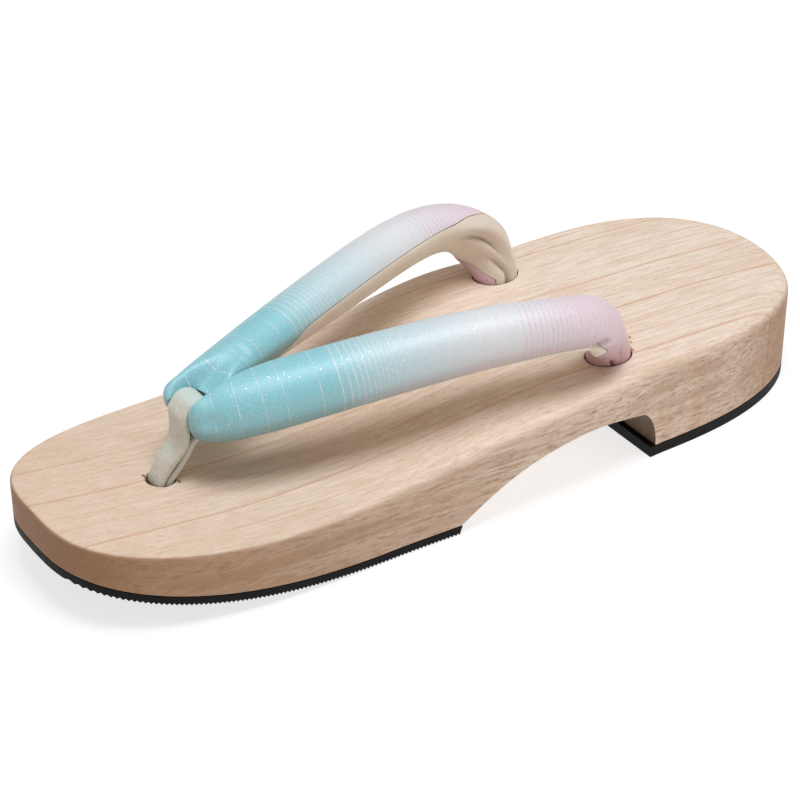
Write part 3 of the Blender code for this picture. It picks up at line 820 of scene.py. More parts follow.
def crowding_lines(tree, placed, start, pitch, tightening, duty, easing=0.0):
    """1 on lines from a length on. Their pitch shrinks and may grow again. Duty is their share of it."""
    past = less(tree, placed, start)
    often = times_plus(tree, past, easing, tightening)
    often = times_plus(tree, past, often, 1 / pitch)
    turn = math_node(tree, "FRACT", times(tree, past, often))
    return math_node(tree, "LESS_THAN", turn, duty)


def frayed(tree, line, fray, stops):
    """A line that thins out where the thread is frayed."""
    return times(tree, line, ramp(tree, fray, stops))


def satin_material():
    """Satin with fine cross stripes that fade from sky blue through white to pink, and tiny flecks."""
    made, tree, shader = new_material(
        "satin", Roughness=0.42, Specular_IOR_Level=0.85, Sheen_Weight=0.20, Sheen_Roughness=0.4)
    uv = node(tree, "ShaderNodeUVMap", uv_map="cloth").outputs["UV"]
    down = node(tree, "ShaderNodeSeparateXYZ", {"Vector": uv}).outputs["Y"]
    share = math_node(tree, "DIVIDE", down, ARM_LENGTH)
    wander = noise(tree, uv, 160.0, 3.0)
    placed = times_plus(tree, wander, 0.0007, less(tree, down, 0.00035))
    weave = noise(tree, uv, 2600.0, 2.0)
    fray = noise(tree, uv, 900.0, 3.0)
    lone = 0.0
    for length in FIRST_WHITE_LINES:
        aside = math_node(tree, "ABSOLUTE", less(tree, placed, length))
        lone = larger(tree, lone, math_node(tree, "LESS_THAN", aside, LINE_WIDTH / 2))
    lone = frayed(tree, lone, fray, ((0.42, 0.10), (0.62, 0.75)))
    duty = ramp(tree, share, WHITE_DUTY)
    close = crowding_lines(tree, placed, WHITE_LINES_FROM, 0.00256, 23290.0, duty, -406000.0)
    close = frayed(tree, close, fray, ((0.32, 0.30), (0.60, 0.80)))
    white = larger(tree, lone, close)
    white = larger(tree, white, ramp(tree, share, WHITE_GROUND))
    pink = crowding_lines(tree, placed, PINK_LINES_FROM, 0.0017, 9000.0, ramp(tree, share, PINK_DUTY))
    pink = frayed(tree, pink, fray, ((0.32, 0.30), (0.58, 0.80)))
    pink = larger(tree, pink, ramp(tree, share, PINK_GROUND))
    faint = crowding_lines(tree, placed, GLINT_LINES_FROM, 0.00125, 0.0, 0.3)
    faint = times(tree, faint, ramp(tree, share, ((0.80, 0.0), (0.85, 0.35), (0.99, 0.25))))
    thread = crowding_lines(tree, placed, 0.0, THREAD_PITCH, 0.0, 0.5)
    grain = times(tree, ramp(tree, weave, ((0.35, 0.0), (0.70, 1.0))), 0.26)
    dust, shine = specks(tree, uv, 4600.0, 4600.0, 0.42, 0.16)
    glint, chance = specks(tree, uv, 2900.0, 2900.0, 0.40, 0.022)
    fleck = larger(tree, times(tree, dust, 0.5), glint)
    colour = coated(tree, SKY, (
        (white, SNOW),
        (pink, ROSE),
        (faint, ROSE_GLINT),
        (grain, srgb(250, 252, 255)),
        (fleck, srgb(255, 255, 255)),
        (times(tree, dust, shine), srgb(176, 178, 190)),
    ))
    upward = times_plus(tree, facing(tree)["Z"], 0.5, 0.5)
    colour = mix_colours(tree, ramp(tree, upward, UNDER_SHADES), colour, UNDER_SHADE, "MULTIPLY")
    wire(tree, shader, Base_Color=colour, Metallic=times(tree, glint, 0.35))
    relief = times_plus(tree, thread, 0.3, weave)
    relief = times_plus(tree, fleck, chance, relief)
    wire(tree, shader, Normal=bump(tree, relief, 0.00009, 0.6))
    rough = times_plus(tree, weave, 0.25, 0.32)
    wire(tree, shader, Roughness=times_plus(tree, fleck, -0.25, rough))
    return made


def velvet_material():
    """Short cream pile with a soft sheen, brushed this way and that."""
    made, tree, shader = new_material(
        "velvet", Roughness=0.9, Specular_IOR_Level=0.15, Sheen_Weight=0.6, Sheen_Roughness=0.35)
    place = node(tree, "ShaderNodeTexCoord").outputs["Object"]
    brushed = streaks(tree, place, 160.0, 90.0, 4.0)
    pile = streaks(tree, place, 3800.0, 2400.0, 3.0)
    colour = mix_colours(tree, brushed, srgb(233, 223, 209), srgb(217, 202, 184))
    wire(tree, shader, Base_Color=colour, Normal=bump(tree, pile, 0.00020, 0.7))
    return made


def felt_material():
    """Brushed grey-cream felt with matted fibres, and a painted bluish reflection where it faces up to the
    satin.
    """
    made, tree, shader = new_material(
        "felt", Roughness=0.95, Specular_IOR_Level=0.12, Sheen_Weight=0.5, Sheen_Roughness=0.5)
    place = node(tree, "ShaderNodeTexCoord").outputs["Object"]
    matted = streaks(tree, place, 900.0, 900.0, 6.0)
    mottle = streaks(tree, place, 150.0, 150.0, 3.0)
    colour = mix_colours(tree, mottle, srgb(226, 226, 217), srgb(196, 191, 179))
    colour = coated(tree, colour, (
        (ramp(tree, matted, ((0.5, 0.0), (0.75, 0.35))), srgb(176, 168, 152)),
        # painted reflection: bluer where the felt faces up
        (ramp(tree, facing(tree)["Z"], ((0.60, 0.0), (0.90, 0.60))), srgb(212, 234, 232)),
    ))
    wire(tree, shader, Base_Color=colour, Normal=bump(tree, matted, 0.00045, 0.8))
    return made


def floor_material():
    """A pale floor that glows a little, so that it stays white under the studio light."""
    glow = {"Emission_Color": (1.0, 1.0, 1.0, 1.0), "Emission_Strength": 0.74}
    made, tree, shader = new_material("floor", Roughness=0.8, **glow)
    place = node(tree, "ShaderNodeTexCoord").outputs["Object"]
    tone = streaks(tree, place, 3.0, 3.0, 2.0)
    colour = mix_colours(tree, tone, srgb(162, 162, 162), srgb(158, 158, 158))
    wire(tree, shader, Base_Color=colour)
    return made


# Edges are sharp above these angles in degrees
SHARP_WOOD = 35
SHARP_LINING = 50
SHARP_CLOTH = 60


def finish(name, bm, look, smooth=SHARP_WOOD):
    """Turns a bmesh into an object with its faces out, smooth between its sharp edges."""
    bmesh.ops.recalc_face_normals(bm, faces=bm.faces)
    mesh = bpy.data.meshes.new(name)
    bm.to_mesh(mesh)
    bm.free()
    made = bpy.data.objects.new(name, mesh)
    bpy.context.scene.collection.objects.link(made)
    if look:
        mesh.materials.append(look)
    mesh.shade_smooth()
    mesh.set_sharp_from_angle(angle=math.radians(smooth))
    return made


def settle(piece, cutters, smooth=SHARP_WOOD):
    """Applies the piece's modifiers and removes the shapes that cut it."""
    graph = bpy.context.evaluated_depsgraph_get()
    piece.data = bpy.data.meshes.new_from_object(piece.evaluated_get(graph))
    piece.modifiers.clear()
    for cutter in cutters:
        bpy.data.objects.remove(cutter)
    piece.data.shade_smooth()
    piece.data.set_sharp_from_angle(angle=math.radians(smooth))


def dress(piece, slot, *nodes):
    """The piece rides on the sandal's one body and stands for nodes, whose CAD parts it hides. The slot is
    not used.
    """
    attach(piece, "root")
    if nodes:
        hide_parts(*nodes)
    return piece


def boolean(target, other, operation):
    """Joins another shape to the target, or cuts it out of it, when the target is settled."""
    step = target.modifiers.new(other.name, "BOOLEAN")
    step.operation = operation
    step.solver = "EXACT"
    step.object = other


def laid_grid(bm, shares, columns, spot):
    """A grid laid over the plan: a row of vertices across the wood at each share, placed by spot."""
    last = len(shares) - 1
    made = bmesh.ops.create_grid(bm, x_segments=columns, y_segments=last, size=0.5)["verts"]
    for vert in made:
        share = shares[round((vert.co.y + 0.5) * last)]
        vert.co = spot(share, vert.co.x + 0.5)
    return made


def across_plan(share, part, inset, height):
    """Point on the line across the wood from its right edge to its left one."""
    right = outline_point(share, -1, inset)
    left = outline_point(share, 1, inset)
    spot = right.lerp(left, part)
    return Vector((spot.x, spot.y, height(spot.x, spot.y)))


def open_loop(verts):
    """Edges on the open border of the faces that these vertices carry."""
    edges = {edge: None for vert in verts if vert.is_valid for edge in vert.link_edges}
    return [edge for edge in edges if edge.is_boundary]


# How the wood's shell is laid: turns of the rounded rim in degrees, heights of the wall's rows as shares
TOP_COLUMNS = 40
PLAN_COLUMNS = 24
RIM_TURNS = (78, 65, 52, 39, 26, 13, 0)
WALL_PARTS = (0.75, 0.5, 0.25, 0.0)
MERGE = 1e-6
# Segments of the holes, the recess and the fold
ROUND_SEGMENTS = 64
FOLD_SEGMENTS = 48
LIP_TURNS = (30, 60, 90)


def deck_shell():
    """The wood without its holes: a crowned top, a rounded rim, upright walls and the arched underside."""
    bm = bmesh.new()
    shares = plan_shares(0, 1, arch_shares())

    def topside(share, part):
        """Point of the top inside the rounded rim."""
        return across_plan(share, part, edge_round(share), top_height)

    laid_grid(bm, shares, TOP_COLUMNS, topside)
    bmesh.ops.remove_doubles(bm, verts=bm.verts, dist=MERGE)
    row_of = bm.verts.layers.int.new("row")
    sided = bm.verts.layers.float.new("side")
    rim = open_loop(bm.verts)
    for vert in {vert for edge in rim for vert in edge.verts}:
        side = math.copysign(1, vert.co.x)
        apart = [(outline_point(share, side, edge_round(share)) - vert.co.xy).length for share in shares]
        vert[row_of] = apart.index(min(apart))
        vert[sided] = side
    levels = [(turn, 1.0) for turn in RIM_TURNS] + [(0, part) for part in WALL_PARTS]
    for turn, part in levels:
        grown = bmesh.ops.extrude_edge_only(bm, edges=rim)["geom"]
        rim = [edge for edge in grown if isinstance(edge, bmesh.types.BMEdge) and edge.is_boundary]
        for vert in {vert for edge in rim for vert in edge.verts}:
            share = shares[vert[row_of]]
            radius = edge_round(share)
            inset = radius * (1 - math.cos(math.radians(turn)))
            drop = radius * (1 - math.sin(math.radians(turn)))
            x, y = outline_point(share, vert[sided], inset)
            low = under_height(share)
            vert.co = (x, y, low + (top_height(x, y) - drop - low) * part)

    def underside(share, part):
        """Point of the underside."""
        return across_plan(share, part, 0.0, lambda x, y: under_height(share))

    laid_grid(bm, shares, PLAN_COLUMNS, underside)
    bmesh.ops.remove_doubles(bm, verts=bm.verts, dist=MERGE)
    return bm


def deck(look):
    """The wood with its three holes and the recess under the front one."""
    piece = finish("sandal_deck", deck_shell(), look)
    front = along(FRONT_HOLE_AT)
    rear = along(REAR_HOLE_AT)
    foot = HEEL_TREAD + GAP
    cutters = [
        hole_cutter("front_hole", 0, front, FRONT_HOLE, FRONT_HOLE, 0.0, FRONT_HOLE_LIP),
        hole_cutter("left_hole", REAR_HOLE_OUT, rear, REAR_HOLE_WIDTH, REAR_HOLE_LENGTH, foot, HOLE_LIP),
        hole_cutter("right_hole", -REAR_HOLE_OUT, rear, REAR_HOLE_WIDTH, REAR_HOLE_LENGTH, foot, HOLE_LIP),
        recess_cutter(front),
    ]
    for cutter in cutters:
        boolean(piece, cutter, "DIFFERENCE")
    settle(piece, cutters)
    return dress(piece, "pale_wood", "deck")


def recess_cutter(y):
    """A round prism for the knot's recess, turned by half a segment to keep clear of the grids' lines."""
    bm = bmesh.new()
    bmesh.ops.create_circle(bm, cap_ends=True, segments=ROUND_SEGMENTS, radius=FRONT_RECESS / 2)
    bmesh.ops.rotate(bm, verts=bm.verts, matrix=Matrix.Rotation(math.pi / ROUND_SEGMENTS, 3, "Z"))
    bmesh.ops.translate(bm, verts=bm.verts, vec=(0, y, 0))
    grown = bmesh.ops.extrude_face_region(bm, geom=bm.faces[:])["geom"]
    raised = [part for part in grown if isinstance(part, bmesh.types.BMVert)]
    roof = under_height(FRONT_HOLE_AT) + FRONT_RECESS_DEPTH
    bmesh.ops.translate(bm, verts=raised, vec=(0, 0, roof))
    return finish("front_recess", bm, None)


def hole_cutter(name, x, y, width, length, low, lip):
    """An upright oval prism whose top flares out, so that it leaves a slightly worn lip."""
    surface = top_height(x, y)
    steps = [(low, 0.0), (surface - lip, 0.0)]
    for turn in LIP_TURNS:
        level = surface - lip + lip * math.sin(math.radians(turn))
        steps.append((level, lip * (1 - math.cos(math.radians(turn)))))
    steps.append((surface + HEEL_ROUND, lip))
    bm = bmesh.new()
    ring = bmesh.ops.create_circle(bm, segments=ROUND_SEGMENTS, radius=1.0)["verts"]
    turns = [math.atan2(vert.co.y, vert.co.x) for vert in ring]
    rim = bm.edges[:]
    before = None
    for level, flare in steps:
        if before is not None:
            grown = bmesh.ops.extrude_edge_only(bm, edges=rim)["geom"]
            ring = [part for part in grown if isinstance(part, bmesh.types.BMVert)]
            rim = [part for part in grown if isinstance(part, bmesh.types.BMEdge) and part.is_boundary]
            turns = [turn_at(vert.co, x, y, width / 2 + before, length / 2 + before) for vert in ring]
        before = flare
        for vert, turn in zip(ring, turns):
            out = (width / 2 + flare) * math.cos(turn)
            back = (length / 2 + flare) * math.sin(turn)
            vert.co = (x + out, y + back, level)
    bmesh.ops.holes_fill(bm, edges=open_loop(bm.verts), sides=0)
    return finish(name, bm, None)


def turn_at(spot, x, y, half_wide, half_long):
    """Angle on an oval at which a point of it lies."""
    return math.atan2((spot.y - y) / half_long, (spot.x - x) / half_wide)


def loop_centre():
    """Middle of the strap's fold inside the thong's loop."""
    return Vector((0, along(FRONT_HOLE_AT) + LOOP_BACK, LOOP_HEIGHT))


def arm_at(rows, side, place):
    """Centre, sizes and twist of an arm at a place along it."""
    out, back, up, half, crown, twist = curve_through(rows, place)
    start = loop_centre().y
    run = along(REAR_HOLE_AT) - start
    centre = Vector((side * out * REAR_HOLE_OUT, start + back * run, HEEL_HEIGHT + up * STRAP_RISE))
    return centre, half * STRAP_WIDTH / 2, crown * STRAP_CROWN, math.radians(twist)


def turned_frame(run, side, twist):
    """Directions across the roll and out of its cover, for a run along the arm and a twist."""
    out = Vector((side, 0, 0))
    out = (out - run * out.dot(run)).normalized()
    up = run.cross(out) * side
    if up.z + up.y < 0:
        up = -up
    return math.cos(twist) * out - math.sin(twist) * up, math.sin(twist) * out + math.cos(twist) * up


def arm_frame(rows, side, place):
    """Directions across the roll and out of its cover at a place along an arm."""
    step = 0.004
    run = (arm_at(rows, side, place + step)[0] - arm_at(rows, side, place - step)[0]).normalized()
    return turned_frame(run, side, arm_at(rows, side, place)[3])


def hole_reach(direction):
    """Distance from the middle of a rear hole to its wall, less the clearance."""
    turn = math.atan2(direction.y, direction.x)
    across_hole = REAR_HOLE_WIDTH / 2 - GAP
    along_hole = REAR_HOLE_LENGTH / 2 - GAP
    return 1 / math.hypot(math.cos(turn) / across_hole, math.sin(turn) / along_hole)


def relief(side, share, angle):
    """Height of the creases at a share along an arm and an angle round it in degrees."""
    total = 0.0
    for arm, at, turn, reach, spread, depth, slant in CREASES:
        if arm != side:
            continue
        ahead = (share - at) / reach
        beside = (angle - turn - slant * spread * ahead) / spread
        total += depth * math.exp(-ahead * ahead - beside * beside)
    return total


def arm_stations(rows, side):
    """Sections along an arm at equal steps, closer at its tip: place, length so far and sizes."""
    places = np.linspace(0.0, 1.0, MEASURED_PLACES)
    centres = [arm_at(rows, side, place)[0] for place in places]
    runs = [(after - before).length for before, after in zip(centres, centres[1:])]
    lengths = np.concatenate(([0.0], np.cumsum(runs)))
    total = lengths[-1]
    tip = [TIP_LENGTH * (1 - math.cos(math.radians(turn))) for turn in TIP_TURNS]
    body = list(np.linspace(TIP_LENGTH, total, int((total - TIP_LENGTH) / STATION_SPACING)))
    stations = []
    for length in tip + body:
        place = float(np.interp(length, lengths, places))
        centre, half, crown = arm_at(rows, side, place)[:3]
        wide, out = arm_frame(rows, side, place)
        ahead = max(1 - length / TIP_LENGTH, 0)
        blunt = max(1 - ahead**TIP_SQUARENESS, 0) ** (1 / TIP_SQUARENESS)
        stations.append({
            "place": place, "length": length, "share": length / total, "centre": centre,
            "wide": wide, "out": out, "half": half * blunt, "crown": crown * blunt,
            "squeeze": ease(SQUEEZE_FROM, 1.0, place),
        })
    stations.append(neck_station(rows, side, total, NECK_BELOW))
    return stations


def neck_station(rows, side, length, below):
    """A level section inside a rear hole, that far below the wood's top."""
    spot = Vector((side * REAR_HOLE_OUT, along(REAR_HOLE_AT)))
    wide, out = turned_frame(Vector((0, 0, -1)), side, arm_at(rows, side, 1.0)[3])
    top = top_height(*spot)
    return {
        "place": 1.0, "length": length + below, "share": 1.0, "centre": Vector((*spot, top - below)),
        "wide": wide, "out": out, "half": REAR_HOLE_LENGTH / 2, "crown": REAR_HOLE_WIDTH / 2, "squeeze": 1.0,
    }


def roll_point(station, side, angle, depth):
    """Point of the roll at an angle round it in radians, below its surface by a depth."""
    lift = station["crown"] if math.sin(angle) > 0 else station["crown"] * LINING_SHARE
    spot = station["wide"] * (station["half"] * math.cos(angle)) + station["out"] * (lift * math.sin(angle))
    if spot.length < 1e-7:
        return station["centre"].copy()
    if station["squeeze"] > 0:
        spot = spot.lerp(spot.normalized() * hole_reach(spot), station["squeeze"])
    turn = math.degrees(angle) % 360
    grown = relief(side, station["share"], turn if turn < 270 else turn - 360)
    return station["centre"] + spot * (1 + (grown - depth) / spot.length)


def seams(side, place):
    """Angles of the two seams of an arm, with the table's corners rounded."""
    places, inner, outer = zip(*(LEFT_SEAMS if side > 0 else RIGHT_SEAMS))
    near = [place + step for step in SEAM_ROUNDING]
    return [math.radians(float(np.mean(np.interp(near, places, seam)))) for seam in (inner, outer)]


def ring_of_angles(side, place, lined):
    """Angles round the cover and how deep each lies: its satin side, and the notch under the lining."""
    inner, outer = seams(side, place)
    first = outer - 2 * math.pi
    top = [(first + (inner - first) * i / SATIN_COLUMNS, 0.0) for i in range(SATIN_COLUMNS + 1)]
    edge = SEAM_DIP * min((outer - inner) / 2, 1)
    span = outer - inner - 2 * edge
    under = [(inner + edge + span * i / NOTCH_COLUMNS, lined) for i in range(NOTCH_COLUMNS + 1)]
    return top + under + [(outer, 0.0)]


def press_round_loop(spot, side):
    """Moves a point of an arm out of the thong's loop: beside it at its level, and low just behind it."""
    middle = loop_centre()
    deep = LOOP_INNER_DEPTH / 2 + THONG_WALL + GAP
    tall = LOOP_INNER_HEIGHT / 2 + THONG_WALL + GAP
    beside = THONG_WIDTH / 2 + GAP
    back = spot.y - middle.y
    level = spot.z - middle.z
    reach = LEFT_VALLEY_REACH if side > 0 else RIGHT_VALLEY_REACH
    spread = 1 - ease(beside * VALLEY_FROM, beside * reach, abs(spot.x))
    roof = LOOP_INNER_HEIGHT / 2 - GAP + VALLEY_RISE * ease(deep * 0.5, deep + VALLEY_LENGTH, back)
    lowered = (level + roof - math.hypot(level - roof, ROOF_SOFTNESS)) / 2
    level += (lowered - level) * spread
    out = math.hypot(back / deep, level / tall)
    wanted = beside - 4 * beside * ease(PUSH_FULL_TO, PUSH_ENDS_AT, out)
    aside = side * spot.x
    if wanted > -2 * beside:
        aside = (aside + wanted + math.hypot(aside - wanted, SIDE_SOFTNESS)) / 2
    return Vector((side * aside, spot.y, middle.z + level))


def arm(name, rows, side, look):
    """One arm of the strap: a padded roll with a rounded tip, down through its hole to a plain knot."""
    stations = arm_stations(rows, side)
    columns = SATIN_COLUMNS + NOTCH_COLUMNS + 2
    through = top_height(REAR_HOLE_OUT, along(REAR_HOLE_AT)) - under_height(REAR_HOLE_AT)
    lined_until = len(stations) - 1
    for below in (through / 2, through):
        stations.append(neck_station(rows, side, stations[lined_until]["length"], below))
    last = len(stations) - 1 + len(KNOT_LINE)
    bm = bmesh.new()
    cloth = bm.loops.layers.uv.new("cloth")
    made = bmesh.ops.create_grid(bm, x_segments=columns, y_segments=last, size=0.5)["verts"]
    rings = []
    for row, station in enumerate(stations):
        place = station["place"]
        lined = ease(LINING_TIP, LINING_FROM, place) if row <= lined_until else 0.0
        rings.append(ring_of_angles(side, place, lined * (LINING_WALL + GAP)))
    where = {}
    for vert in made:
        column = round((vert.co.x + 0.5) * columns)
        row = round((vert.co.y + 0.5) * last)
        angle, depth = rings[min(row, len(stations) - 1)][column]
        where[vert] = (column, row)
        if row < len(stations):
            vert.co = roll_point(stations[row], side, angle, depth)
            if stations[row]["length"] < 4 * TIP_LENGTH:
                vert.co = press_round_loop(vert.co, side)
        else:
            drop, swell, shift = KNOT_LINE[row - len(stations)]
            base = roll_point(stations[-1], side, angle, 0.0) - stations[-1]["centre"]
            vert.co = stations[-1]["centre"] + Vector((
                base.x * swell, base.y * swell - shift * STRAP_KNOT_SHIFT, -drop * STRAP_KNOT_DROP))
    for face in bm.faces:
        for corner in face.loops:
            column, row = where[corner.vert]
            length = stations[min(row, len(stations) - 1)]["length"]
            corner[cloth].uv = (column / columns * CLOTH_WIDTH, length * (1.0 if side > 0 else FAR_FADE))
    bmesh.ops.remove_doubles(bm, verts=bm.verts, dist=MERGE)
    bmesh.ops.dissolve_degenerate(bm, edges=bm.edges, dist=MERGE / 10)
    return finish(name, bm, look, SHARP_CLOTH)


def fold():
    """The squeezed middle of the strap inside the thong's loop."""
    middle = loop_centre()
    reach = THONG_WIDTH / 2 + 3 * GAP + FOLD_OVERLAP
    bm = bmesh.new()
    roll = {"segments": FOLD_SEGMENTS, "radius1": 1.0, "radius2": 1.0, "depth": 2 * reach}
    bmesh.ops.create_cone(bm, cap_ends=True, **roll)
    bmesh.ops.rotate(bm, verts=bm.verts, matrix=Matrix.Rotation(math.pi / 2, 3, "Y"))
    bmesh.ops.scale(bm, verts=bm.verts, vec=(1, LOOP_INNER_DEPTH / 2 - GAP, LOOP_INNER_HEIGHT / 2 - GAP))
    bmesh.ops.translate(bm, verts=bm.verts, vec=middle)
    return finish("fold", bm, None)


def strap(look):
    """Both arms joined at the front, with room for the thong's loop round the fold."""
    piece = arm("sandal_strap", LEFT_ARM, 1, look)
    cutters = [arm("right_arm", RIGHT_ARM, -1, look), fold()]
    for cutter in cutters:
        boolean(piece, cutter, "UNION")
    settle(piece, cutters, SHARP_CLOTH)
    dress(piece, "satin", "strap")
    return piece


def lining(name, rows, side, look, node_name):
    """The velvet strip that closes an arm below, seated in the notch of the cover."""
    stations = [s for s in arm_stations(rows, side) if s["place"] >= LINING_TIP + 0.006]
    columns = 2 * LINING_COLUMNS + 2
    last = len(stations) - 1
    bm = bmesh.new()
    made = bmesh.ops.create_grid(bm, x_segments=columns, y_segments=last, size=0.5)["verts"]
    for vert in made:
        column = round((vert.co.x + 0.5) * columns) % columns
        station = stations[round((vert.co.y + 0.5) * last)]
        inner, outer = seams(side, station["place"])
        over = column <= LINING_COLUMNS
        part = column / LINING_COLUMNS if over else (columns - 1 - column) / LINING_COLUMNS
        angle = inner + SEAM_DIP + (outer - inner - 2 * SEAM_DIP) * part
        swell = LINING_SWELL * math.sin(math.pi * part) ** 0.5
        vert.co = roll_point(station, side, angle, -swell if over else LINING_WALL)
    bmesh.ops.remove_doubles(bm, verts=bm.verts, dist=MERGE)
    ends = open_loop(bm.verts)
    bmesh.ops.holes_fill(bm, edges=ends, sides=0)
    piece = finish(name, bm, look, SHARP_LINING)
    dress(piece, "velvet", node_name)
    return piece


def thong_path():
    """Middle line of the felt strip, from the foot of its rear leg over the loop to the front one."""
    middle = loop_centre()
    deep = (LOOP_INNER_DEPTH + THONG_WALL) / 2
    tall = (LOOP_INNER_HEIGHT + THONG_WALL) / 2
    apart = (THONG_WALL + GAP) / 2
    hole = along(FRONT_HOLE_AT)
    surface = top_height(0, hole)
    foot = surface - THONG_LEG_DEPTH
    below = surface - THONG_FOOT_DEPTH
    neck_y = middle.y - NECK_FORWARD * deep
    neck_z = middle.z - NECK_DROP * tall
    lean_y = (neck_y + hole) / 2
    lean_z = (neck_z + surface) / 2
    turns = [math.radians(turn) for turn in LOOP_TURNS]
    half_turn = [(middle.y + deep * math.cos(turn), middle.z + tall * math.sin(turn)) for turn in turns]
    rear = [(hole + apart, foot), (hole + apart, below), (hole + apart + NECK_FLARE, surface)]
    rear += [(lean_y + apart + REAR_LEG_BOW, lean_z), (neck_y + apart, neck_z)]
    front = [(neck_y - apart, neck_z), (lean_y - apart - FRONT_LEG_BOW, lean_z)]
    front += [(hole - apart - NECK_FLARE, surface), (hole - apart, below), (hole - apart, foot)]
    return rear + half_turn + front


def thong(look):
    """The felt strip: a loop over the fold, two legs through the front hole and a knot below."""
    path = thong_path()
    rows = [(i, y, z) for i, (y, z) in enumerate(path)]
    surface = top_height(0, along(FRONT_HOLE_AT))
    neck_level = loop_centre().z - (LOOP_INNER_HEIGHT + THONG_WALL) / 2
    step = 0.05
    ring = []
    for i in range(THONG_COLUMNS):
        turn = 2 * math.pi * i / THONG_COLUMNS
        x = math.copysign(abs(math.cos(turn)) ** THONG_SQUARE_ACROSS, math.cos(turn))
        z = math.copysign(abs(math.sin(turn)) ** THONG_SQUARE_THROUGH, math.sin(turn))
        ring.append((x, z))
    bm = bmesh.new()
    made = bmesh.ops.create_grid(bm, x_segments=len(ring), y_segments=THONG_ROWS, size=0.5)["verts"]
    for vert in made:
        column = round((vert.co.x + 0.5) * len(ring)) % len(ring)
        at = (vert.co.y + 0.5) * (len(path) - 1)
        y, z = curve_through(rows, at)
        before = Vector(curve_through(rows, max(at - step, 0)))
        after = Vector(curve_through(rows, min(at + step, len(path) - 1)))
        run = (after - before).normalized()
        side = Vector((-run.y, run.x)) * THONG_WALL / 2
        wide = THONG_FOOT_WIDTH + (THONG_WIDTH - THONG_FOOT_WIDTH) * ease(surface, neck_level, z)
        x, over = ring[column]
        vert.co = (wide / 2 * x, y + side.x * over, z + side.y * over)
    bmesh.ops.remove_doubles(bm, verts=bm.verts, dist=MERGE)
    bmesh.ops.holes_fill(bm, edges=open_loop(bm.verts), sides=0)
    piece = finish("sandal_thong", bm, look, SHARP_CLOTH)
    bm = bmesh.new()
    bmesh.ops.create_uvsphere(bm, u_segments=40, v_segments=20, radius=1.0)
    bmesh.ops.scale(bm, verts=bm.verts, vec=(THONG_KNOT / 2, THONG_KNOT / 2, THONG_KNOT_HEIGHT / 2))
    low = under_height(FRONT_HOLE_AT) + GAP + THONG_KNOT_ABOVE
    bmesh.ops.translate(bm, verts=bm.verts, vec=(0, along(FRONT_HOLE_AT), low + THONG_KNOT_HEIGHT / 2))
    knot = finish("thong_knot", bm, look)
    boolean(piece, knot, "UNION")
    settle(piece, [knot], SHARP_CLOTH)
    return dress(piece, "felt", "thong")


# Fine ribs across the underside of the front tread
RIB_PITCH = 0.0012
RIB_DEPTH = 0.0006


def ribbed_shares(first, last):
    """Shares of a ribbed tread, and at each crest and trough whether it is cut in."""
    count = int((last - first) * LENGTH / RIB_PITCH) * 2
    ribs = [first + (last - first) * (i + 0.5) / count for i in range(2, count - 1)]
    plain = [share for share in plan_shares(first, last) if share < ribs[0] or share > ribs[-1]]
    return sorted(ribs + plain), {share: index % 2 for index, share in enumerate(ribs)}


def tread(name, first, last, under, over, end_cut, ribbed, look, node_name):
    """A slab of rubber under the wood's outline between two shares, its front one finely ribbed below."""
    shares, ribs = ribbed_shares(first, last) if ribbed else (plan_shares(first, last), {})
    bm = bmesh.new()
    for height, cut in ((under, end_cut), (over, 0.0)):
        def spot(share, part, height=height, cut=cut):
            """Point of the slab's lower or upper face."""
            found = across_plan(share, part, 0.0, lambda x, y: height(share))
            if share == last and last < 1:
                found.y -= cut
            if height is under:
                found.z += RIB_DEPTH * ribs.get(share, 0)
            return found
        laid_grid(bm, shares, PLAN_COLUMNS, spot)
    bmesh.ops.remove_doubles(bm, verts=bm.verts, dist=MERGE / 10)
    bmesh.ops.bridge_loops(bm, edges=[edge for edge in bm.edges if edge.is_boundary])
    piece = finish(name, bm, look)
    return dress(piece, "black_rubber", node_name)


# The camera's angle, distance and lens from the photo's outlines
CAMERA_TURN = math.radians(56.348)
CAMERA_RISE = math.radians(32.748)
CAMERA_ROLL = math.radians(-0.174)
CAMERA_AWAY = 0.689948
CAMERA_TARGET = Vector((-0.000773, -0.007109, 0.018194))
CAMERA_LENS = 110.146
CAMERA_FILM = 36.0


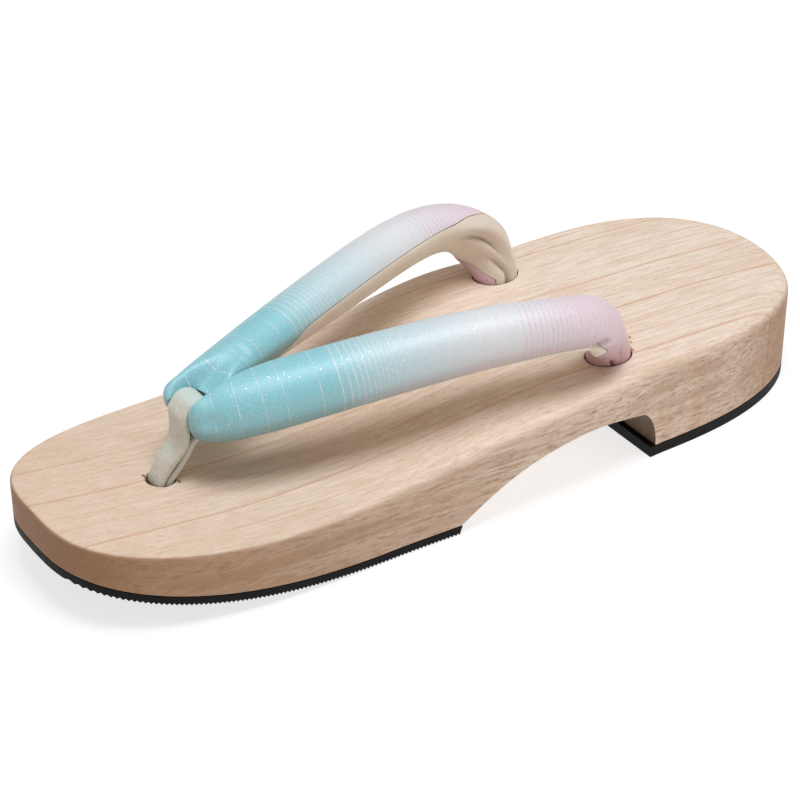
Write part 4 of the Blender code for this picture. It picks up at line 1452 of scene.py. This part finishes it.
def camera():
    """A camera at the photo's angle."""
    back = Vector((
        math.sin(CAMERA_TURN) * math.cos(CAMERA_RISE),
        -math.cos(CAMERA_TURN) * math.cos(CAMERA_RISE),
        math.sin(CAMERA_RISE),
    ))
    right = Vector((math.cos(CAMERA_TURN), math.sin(CAMERA_TURN), 0))
    up = back.cross(right)
    rolled_right = math.cos(CAMERA_ROLL) * right + math.sin(CAMERA_ROLL) * up
    rolled_up = back.cross(rolled_right)
    data = bpy.data.cameras.new("camera")
    data.lens = CAMERA_LENS
    data.sensor_width = CAMERA_FILM
    made = bpy.data.objects.new("camera", data)
    turn = Matrix((rolled_right, rolled_up, back)).transposed().to_4x4()
    made.matrix_world = Matrix.Translation(CAMERA_TARGET + back * CAMERA_AWAY) @ turn
    bpy.context.scene.collection.objects.link(made)
    bpy.context.scene.camera = made


def soft_light(name, away, size, power, colour=(1, 1, 1)):
    """A square studio light that faces the sandal."""
    data = bpy.data.lights.new(name, "AREA")
    data.energy = power
    data.size = size
    data.color = colour
    made = bpy.data.objects.new(name, data)
    made.location = away
    made.rotation_euler = (-Vector(away)).to_track_quat("-Z", "Y").to_euler()
    bpy.context.scene.collection.objects.link(made)


def studio():
    """A pale floor, a white surround, a soft light overhead and a low one from the heel's side."""
    bm = bmesh.new()
    bmesh.ops.create_grid(bm, x_segments=1, y_segments=1, size=3.0)
    floor = finish("floor", bm, floor_material())
    world = bpy.data.worlds.new("studio")
    bpy.context.scene.world = world
    world.use_nodes = True
    surround = world.node_tree.nodes["Background"]
    surround.inputs["Color"].default_value = (1.0, 0.90, 0.80, 1.0)
    surround.inputs["Strength"].default_value = 0.36
    soft_light("key", (0.14, -0.02, 1.10), 0.52, 7.9, (0.97, 1.0, 1.05))
    soft_light("fill", (1.05, 0.90, 0.16), 0.8, 2.4)
    bpy.context.scene.view_settings.view_transform = "Standard"


camera()
studio()
wood_look = wood_material()
rubber_look = rubber_material()
satin_look = satin_material()
velvet_look = velvet_material()
felt_look = felt_material()

deck(wood_look)
tread(
    "sandal_front_tread", 0, ARCH_FRONT, spring_height,
    lambda share: spring_height(share) + FRONT_TREAD, TREAD_CHAMFER, True, rubber_look, "front_tread",
)
tread(
    "sandal_heel_tread", HEEL_BLOCK_FRONT - TREAD_LEDGE / LENGTH, 1, lambda share: 0.0,
    lambda share: HEEL_TREAD, 0.0, False, rubber_look, "heel_tread",
)
strap(satin_look)
lining("sandal_left_lining", LEFT_ARM, 1, velvet_look, "left_lining")
lining("sandal_right_lining", RIGHT_ARM, -1, velvet_look, "right_lining")
thong(felt_look)
